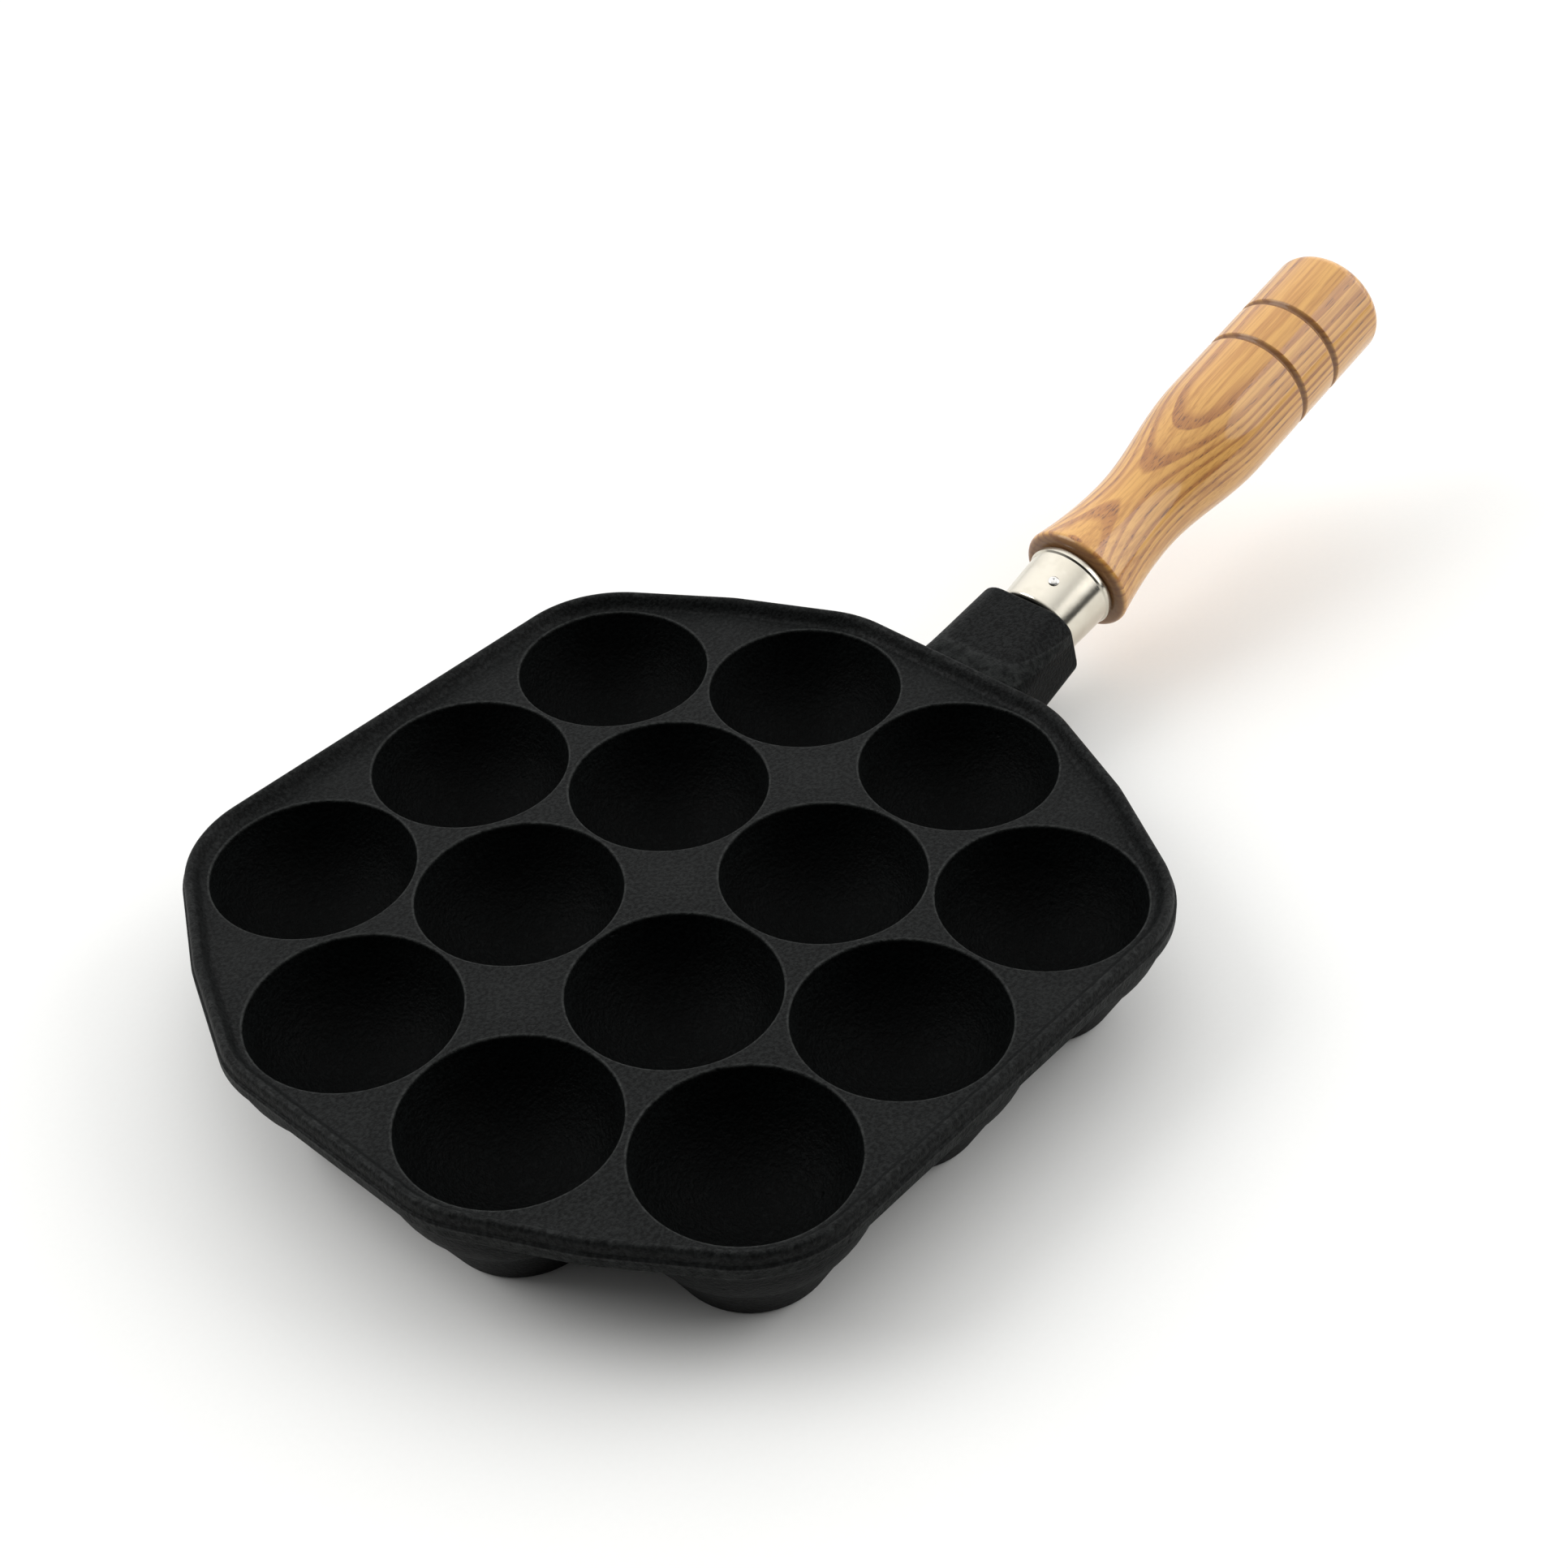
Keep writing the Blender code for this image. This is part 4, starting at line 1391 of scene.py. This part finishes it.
@dataclass
class BoltSet(Piece):
    """The long bolt with its thread, and the two washers under its head."""

    sides: int = 64
    shank_radius: float = 4.0 * MM
    core_radius: float = 3.3 * MM
    pitch: float = 1.25 * MM
    tip: float = 9.7 * MM
    thread_turns: int = 20
    thread_steps: int = 32
    head_seat: float = 142.2 * MM
    head_radius: float = 6.8 * MM
    head_height: float = 4.6 * MM
    head_rounding: float = 1.4 * MM
    slot_width: float = 1.6 * MM
    slot_depth: float = 2.2 * MM
    bore_radius: float = 4.3 * MM
    plain_seat: float = 138.0 * MM
    plain_radius: float = 8.0 * MM
    plain_thickness: float = 1.6 * MM
    sprung_seat: float = 139.9 * MM
    sprung_radius: float = 6.6 * MM
    sprung_thickness: float = 2.0 * MM
    split_width: float = 1.2 * MM
    split_tilt: float = math.radians(25.0)

    def thread(self) -> bpy.types.Object:
        """Winds the ridge of the thread about the core."""
        put_down_everything()
        start = self.tip + 0.9 * MM
        bpy.ops.mesh.primitive_circle_add(
            vertices=4, radius=self.pitch * 0.46, fill_type="NOTHING", rotation=(math.pi / 2, 0.0, 0.0)
        )
        ridge = rename(bpy.context.object, "thread")
        settle()
        edit(ridge)
        depth = self.shank_radius - self.core_radius + 0.1 * MM
        squeeze = depth / (self.pitch * 0.46)
        bpy.ops.transform.resize(value=(squeeze, 1.0, 1.0), center_override=(0.0, 0.0, 0.0))
        bpy.ops.transform.translate(value=(self.core_radius - 0.1 * MM, 0.0, start))
        bpy.ops.object.mode_set(mode="OBJECT")
        screw = ridge.modifiers.new("wind", "SCREW")
        screw.axis = "Z"
        screw.angle = math.tau
        screw.screw_offset = self.pitch
        screw.iterations = self.thread_turns
        screw.steps = self.thread_steps
        screw.render_steps = self.thread_steps
        bpy.ops.object.modifier_apply(modifier=screw.name)
        edit(ridge)
        bpy.ops.mesh.select_mode(type="EDGE")
        bpy.ops.mesh.select_all(action="DESELECT")
        bpy.ops.mesh.select_non_manifold(extend=False, use_wire=False, use_multi_face=False)
        bpy.ops.mesh.fill_holes(sides=0)
        return close_up(ridge)

    def build_bolt(self, finish: bpy.types.Material) -> bpy.types.Object:
        """Turns the bolt, winds its thread and saws its slot.

        Args:
            finish: Its material.

        Returns:
            The finished piece.
        """
        top = self.head_seat + self.head_height
        soft = self.head_rounding
        thread_end = self.tip + 0.9 * MM + self.thread_turns * self.pitch
        dome = arc((self.head_radius - soft, top - soft), (soft, soft), math.pi / 2, 0.0, 8)
        profile = [(0.0, top), *dome]
        profile += [(self.head_radius, self.head_seat), (self.shank_radius, self.head_seat)]
        profile += [(self.shank_radius, thread_end), (self.core_radius, thread_end - 0.7 * MM)]
        profile += [(self.core_radius, self.tip + 0.6 * MM), (self.core_radius - 0.6 * MM, self.tip)]
        profile.append((0.0, self.tip))
        bolt = turn_on_lathe("threaded_bolt", profile, self.sides)
        carve(bolt, Cut.JOIN, [self.thread()])
        size = (2 * self.head_radius + 4.0 * MM, self.slot_width, self.slot_depth * 2)
        carve(bolt, Cut.TAKE_AWAY, [block((0.0, 0.0, top), (0.0, 0.0, 0.0), size)])
        stand_at(bolt, self.layout.handle())
        return self.deliver(bolt, finish, Body.BOLT, Slot.BOLT_STEEL, "handle_bolt")

    def washer_profile(self, outer: float, seat: float, thickness: float) -> list[Point]:
        """A washer's section with softened edges.

        Args:
            outer: The washer's radius.
            seat: The height of its lower face.
            thickness: Its thickness.

        Returns:
            The closed section.
        """
        inner, top, soft = self.bore_radius, seat + thickness, 0.18 * MM
        section = [(inner + soft, top), (outer - soft, top), (outer, top - soft), (outer, seat + soft)]
        section += [(outer - soft, seat), (inner + soft, seat), (inner, seat + soft)]
        section.append((inner, top - soft))
        return [*section, section[0]]

    def build_washers(self, zinc: bpy.types.Material, spring: bpy.types.Material) -> None:
        """Turns the plain washer and the split spring washer.

        Args:
            zinc: The plain washer's material.
            spring: The spring washer's material.
        """
        section = self.washer_profile(self.plain_radius, self.plain_seat, self.plain_thickness)
        plain = stand_at(turn_on_lathe("plain_washer", section, self.sides), self.layout.handle())
        self.deliver(plain, zinc, Body.HANDLE, Slot.ZINC_STEEL, "flat_washer")
        section = self.washer_profile(self.sprung_radius, self.sprung_seat, self.sprung_thickness)
        sprung = turn_on_lathe("split_washer", section, self.sides)
        reach = self.sprung_radius + MM
        middle = self.sprung_seat + self.sprung_thickness / 2
        size = (reach, self.split_width, self.sprung_thickness * 3)
        gap = block((reach / 2, 0.0, middle), (self.split_tilt, 0.0, 0.0), size)
        carve(sprung, Cut.TAKE_AWAY, [gap])
        stand_at(sprung, self.layout.handle())
        self.deliver(sprung, spring, Body.HANDLE, Slot.SPRING_STEEL, "spring_washer")


# ---------------------------------------------------------------------------------------------
# Studio
# ---------------------------------------------------------------------------------------------


@dataclass(frozen=True)
class SoftBox:
    """A large soft lamp that looks at the pan."""

    name: str
    azimuth: float
    elevation: float
    distance: float
    size: float
    power: float

    def hang(self, target: Vector) -> bpy.types.Object:
        """Hangs the lamp.

        Args:
            target: The point that it looks at.

        Returns:
            The lamp.
        """
        azimuth, elevation = math.radians(self.azimuth), math.radians(self.elevation)
        level = math.cos(elevation)
        outward = Vector((math.cos(azimuth) * level, math.sin(azimuth) * level, math.sin(elevation)))
        lamp = bpy.data.lights.new(self.name, "AREA")
        lamp.shape = "DISK"
        lamp.size = self.size
        lamp.energy = self.power
        holder = bpy.data.objects.new(self.name, lamp)
        holder.location = target + outward * self.distance
        holder.rotation_euler = outward.to_track_quat("Z", "Y").to_euler()
        bpy.context.scene.collection.objects.link(holder)
        return holder


@dataclass(frozen=True)
class Studio:
    """The camera at the photograph's angle, the lamps, the pale floor and the room's light."""

    lens: float = 54.65
    sensor: float = 36.0
    camera_place: Colour = (-0.29936, -0.25015, 0.32800)
    azimuth: float = math.radians(43.969)
    elevation: float = math.radians(-39.729)
    roll: float = math.radians(-3.249)
    floor_size: float = 12.0
    room_dim: float = 0.03
    room_light: float = 1.86
    room_azimuth: float = math.radians(46.0)
    room_elevation: float = math.radians(50.0)
    room_edge: float = -0.1
    lamps: tuple[SoftBox, ...] = (
        SoftBox("left_softbox", 128.0, 42.0, 1.3, 0.9, 6.5),
        SoftBox("right_softbox", -38.0, 28.0, 1.3, 1.2, 7.5),
    )

    def place_camera(self) -> None:
        """Sets the camera up where the photograph was taken from."""
        level = math.cos(self.elevation)
        across, along = math.cos(self.azimuth) * level, math.sin(self.azimuth) * level
        ahead = Vector((across, along, math.sin(self.elevation)))
        right = ahead.cross(Vector((0.0, 0.0, 1.0))).normalized()
        above = right.cross(ahead)
        cosine, sine = math.cos(self.roll), math.sin(self.roll)
        rolled_right = right * cosine + above * sine
        rolled_above = above * cosine - right * sine
        camera = bpy.data.cameras.new("camera")
        camera.lens = self.lens
        camera.sensor_width = self.sensor
        camera.clip_start = 0.01
        camera.clip_end = 50.0
        holder = bpy.data.objects.new("camera", camera)
        holder.location = self.camera_place
        axes = Matrix((rolled_right, rolled_above, -ahead)).transposed()
        holder.rotation_euler = axes.to_euler()
        bpy.context.scene.collection.objects.link(holder)
        bpy.context.scene.camera = holder

    def lay_floor(self) -> None:
        """Lays the floor that the pan stands on."""
        put_down_everything()
        bpy.ops.mesh.primitive_plane_add(size=self.floor_size)
        floor = rename(bpy.context.object, "pale_floor")
        floor.data.materials.append(StudioFloor().make())

    def light_room(self) -> None:
        """Gives the room a light that is strongest behind the pan, and the lens a white wall."""
        world = bpy.data.worlds.new("room")
        bpy.context.scene.world = world
        recipe = Recipe(world)
        level = math.cos(self.room_elevation)
        across, along = math.cos(self.room_azimuth) * level, math.sin(self.room_azimuth) * level
        direction = recipe.node("ShaderNodeTexCoord", {}, {}).outputs["Generated"]
        sockets = {0: direction, 1: (across, along, math.sin(self.room_elevation))}
        facing = recipe.signal("ShaderNodeVectorMath", {"operation": "DOT_PRODUCT"}, sockets, "Value")
        light = facing.rise(self.room_edge, 1.0) * (self.room_light - self.room_dim) + self.room_dim
        lens = Signal(recipe, recipe.node("ShaderNodeLightPath", {}, {}).outputs["Is Camera Ray"])
        sockets = {"Strength": light * (1.0 - lens) + lens}
        background = recipe.node("ShaderNodeBackground", {}, sockets)
        recipe.node("ShaderNodeOutputWorld", {}, {"Surface": background.outputs[0]})

    def set_up(self, target: Vector) -> None:
        """Sets the whole studio up.

        Args:
            target: The point that the lamps look at.
        """
        self.place_camera()
        self.lay_floor()
        self.light_room()
        for lamp in self.lamps:
            lamp.hang(target)
        bpy.context.scene.view_settings.view_transform = "Standard"


def main() -> None:
    """Loads the frame and builds every sub-assembly on it."""
    logging.basicConfig(level=logging.INFO, format="%(name)s: %(message)s")
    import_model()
    layout = PanLayout()

    PanCasting(layout).build(CastIron().make(layout))
    ferrule = Ferrule(layout)
    grip = WoodenGrip(layout)
    grip.build(LacqueredWood().make(layout, grip.painted_shade_places()), ferrule.pin_hole())
    ferrule.build_sleeve(Steel("polished_steel", (0.68, 0.64, 0.55), 0.18, 0.004 * MM).make(layout))
    ferrule.build_pin(Steel("nail_steel", (0.70, 0.69, 0.67), 0.26, 0.003 * MM).make(layout))
    bolts = BoltSet(layout)
    plating = Steel("bolt_steel_plating", (0.62, 0.62, 0.60), 0.30, 0.004 * MM, 0.5).make(layout)
    bolts.build_bolt(plating)
    zinc = Steel("zinc_plating", (0.60, 0.61, 0.62), 0.33, 0.004 * MM, 0.7).make(layout)
    spring = Steel("spring_steel_skin", (0.34, 0.34, 0.35), 0.38, 0.006 * MM, 0.3).make(layout)
    bolts.build_washers(zinc, spring)

    Studio().set_up(layout.pan().translation)


if __name__ == "__main__":
    main()
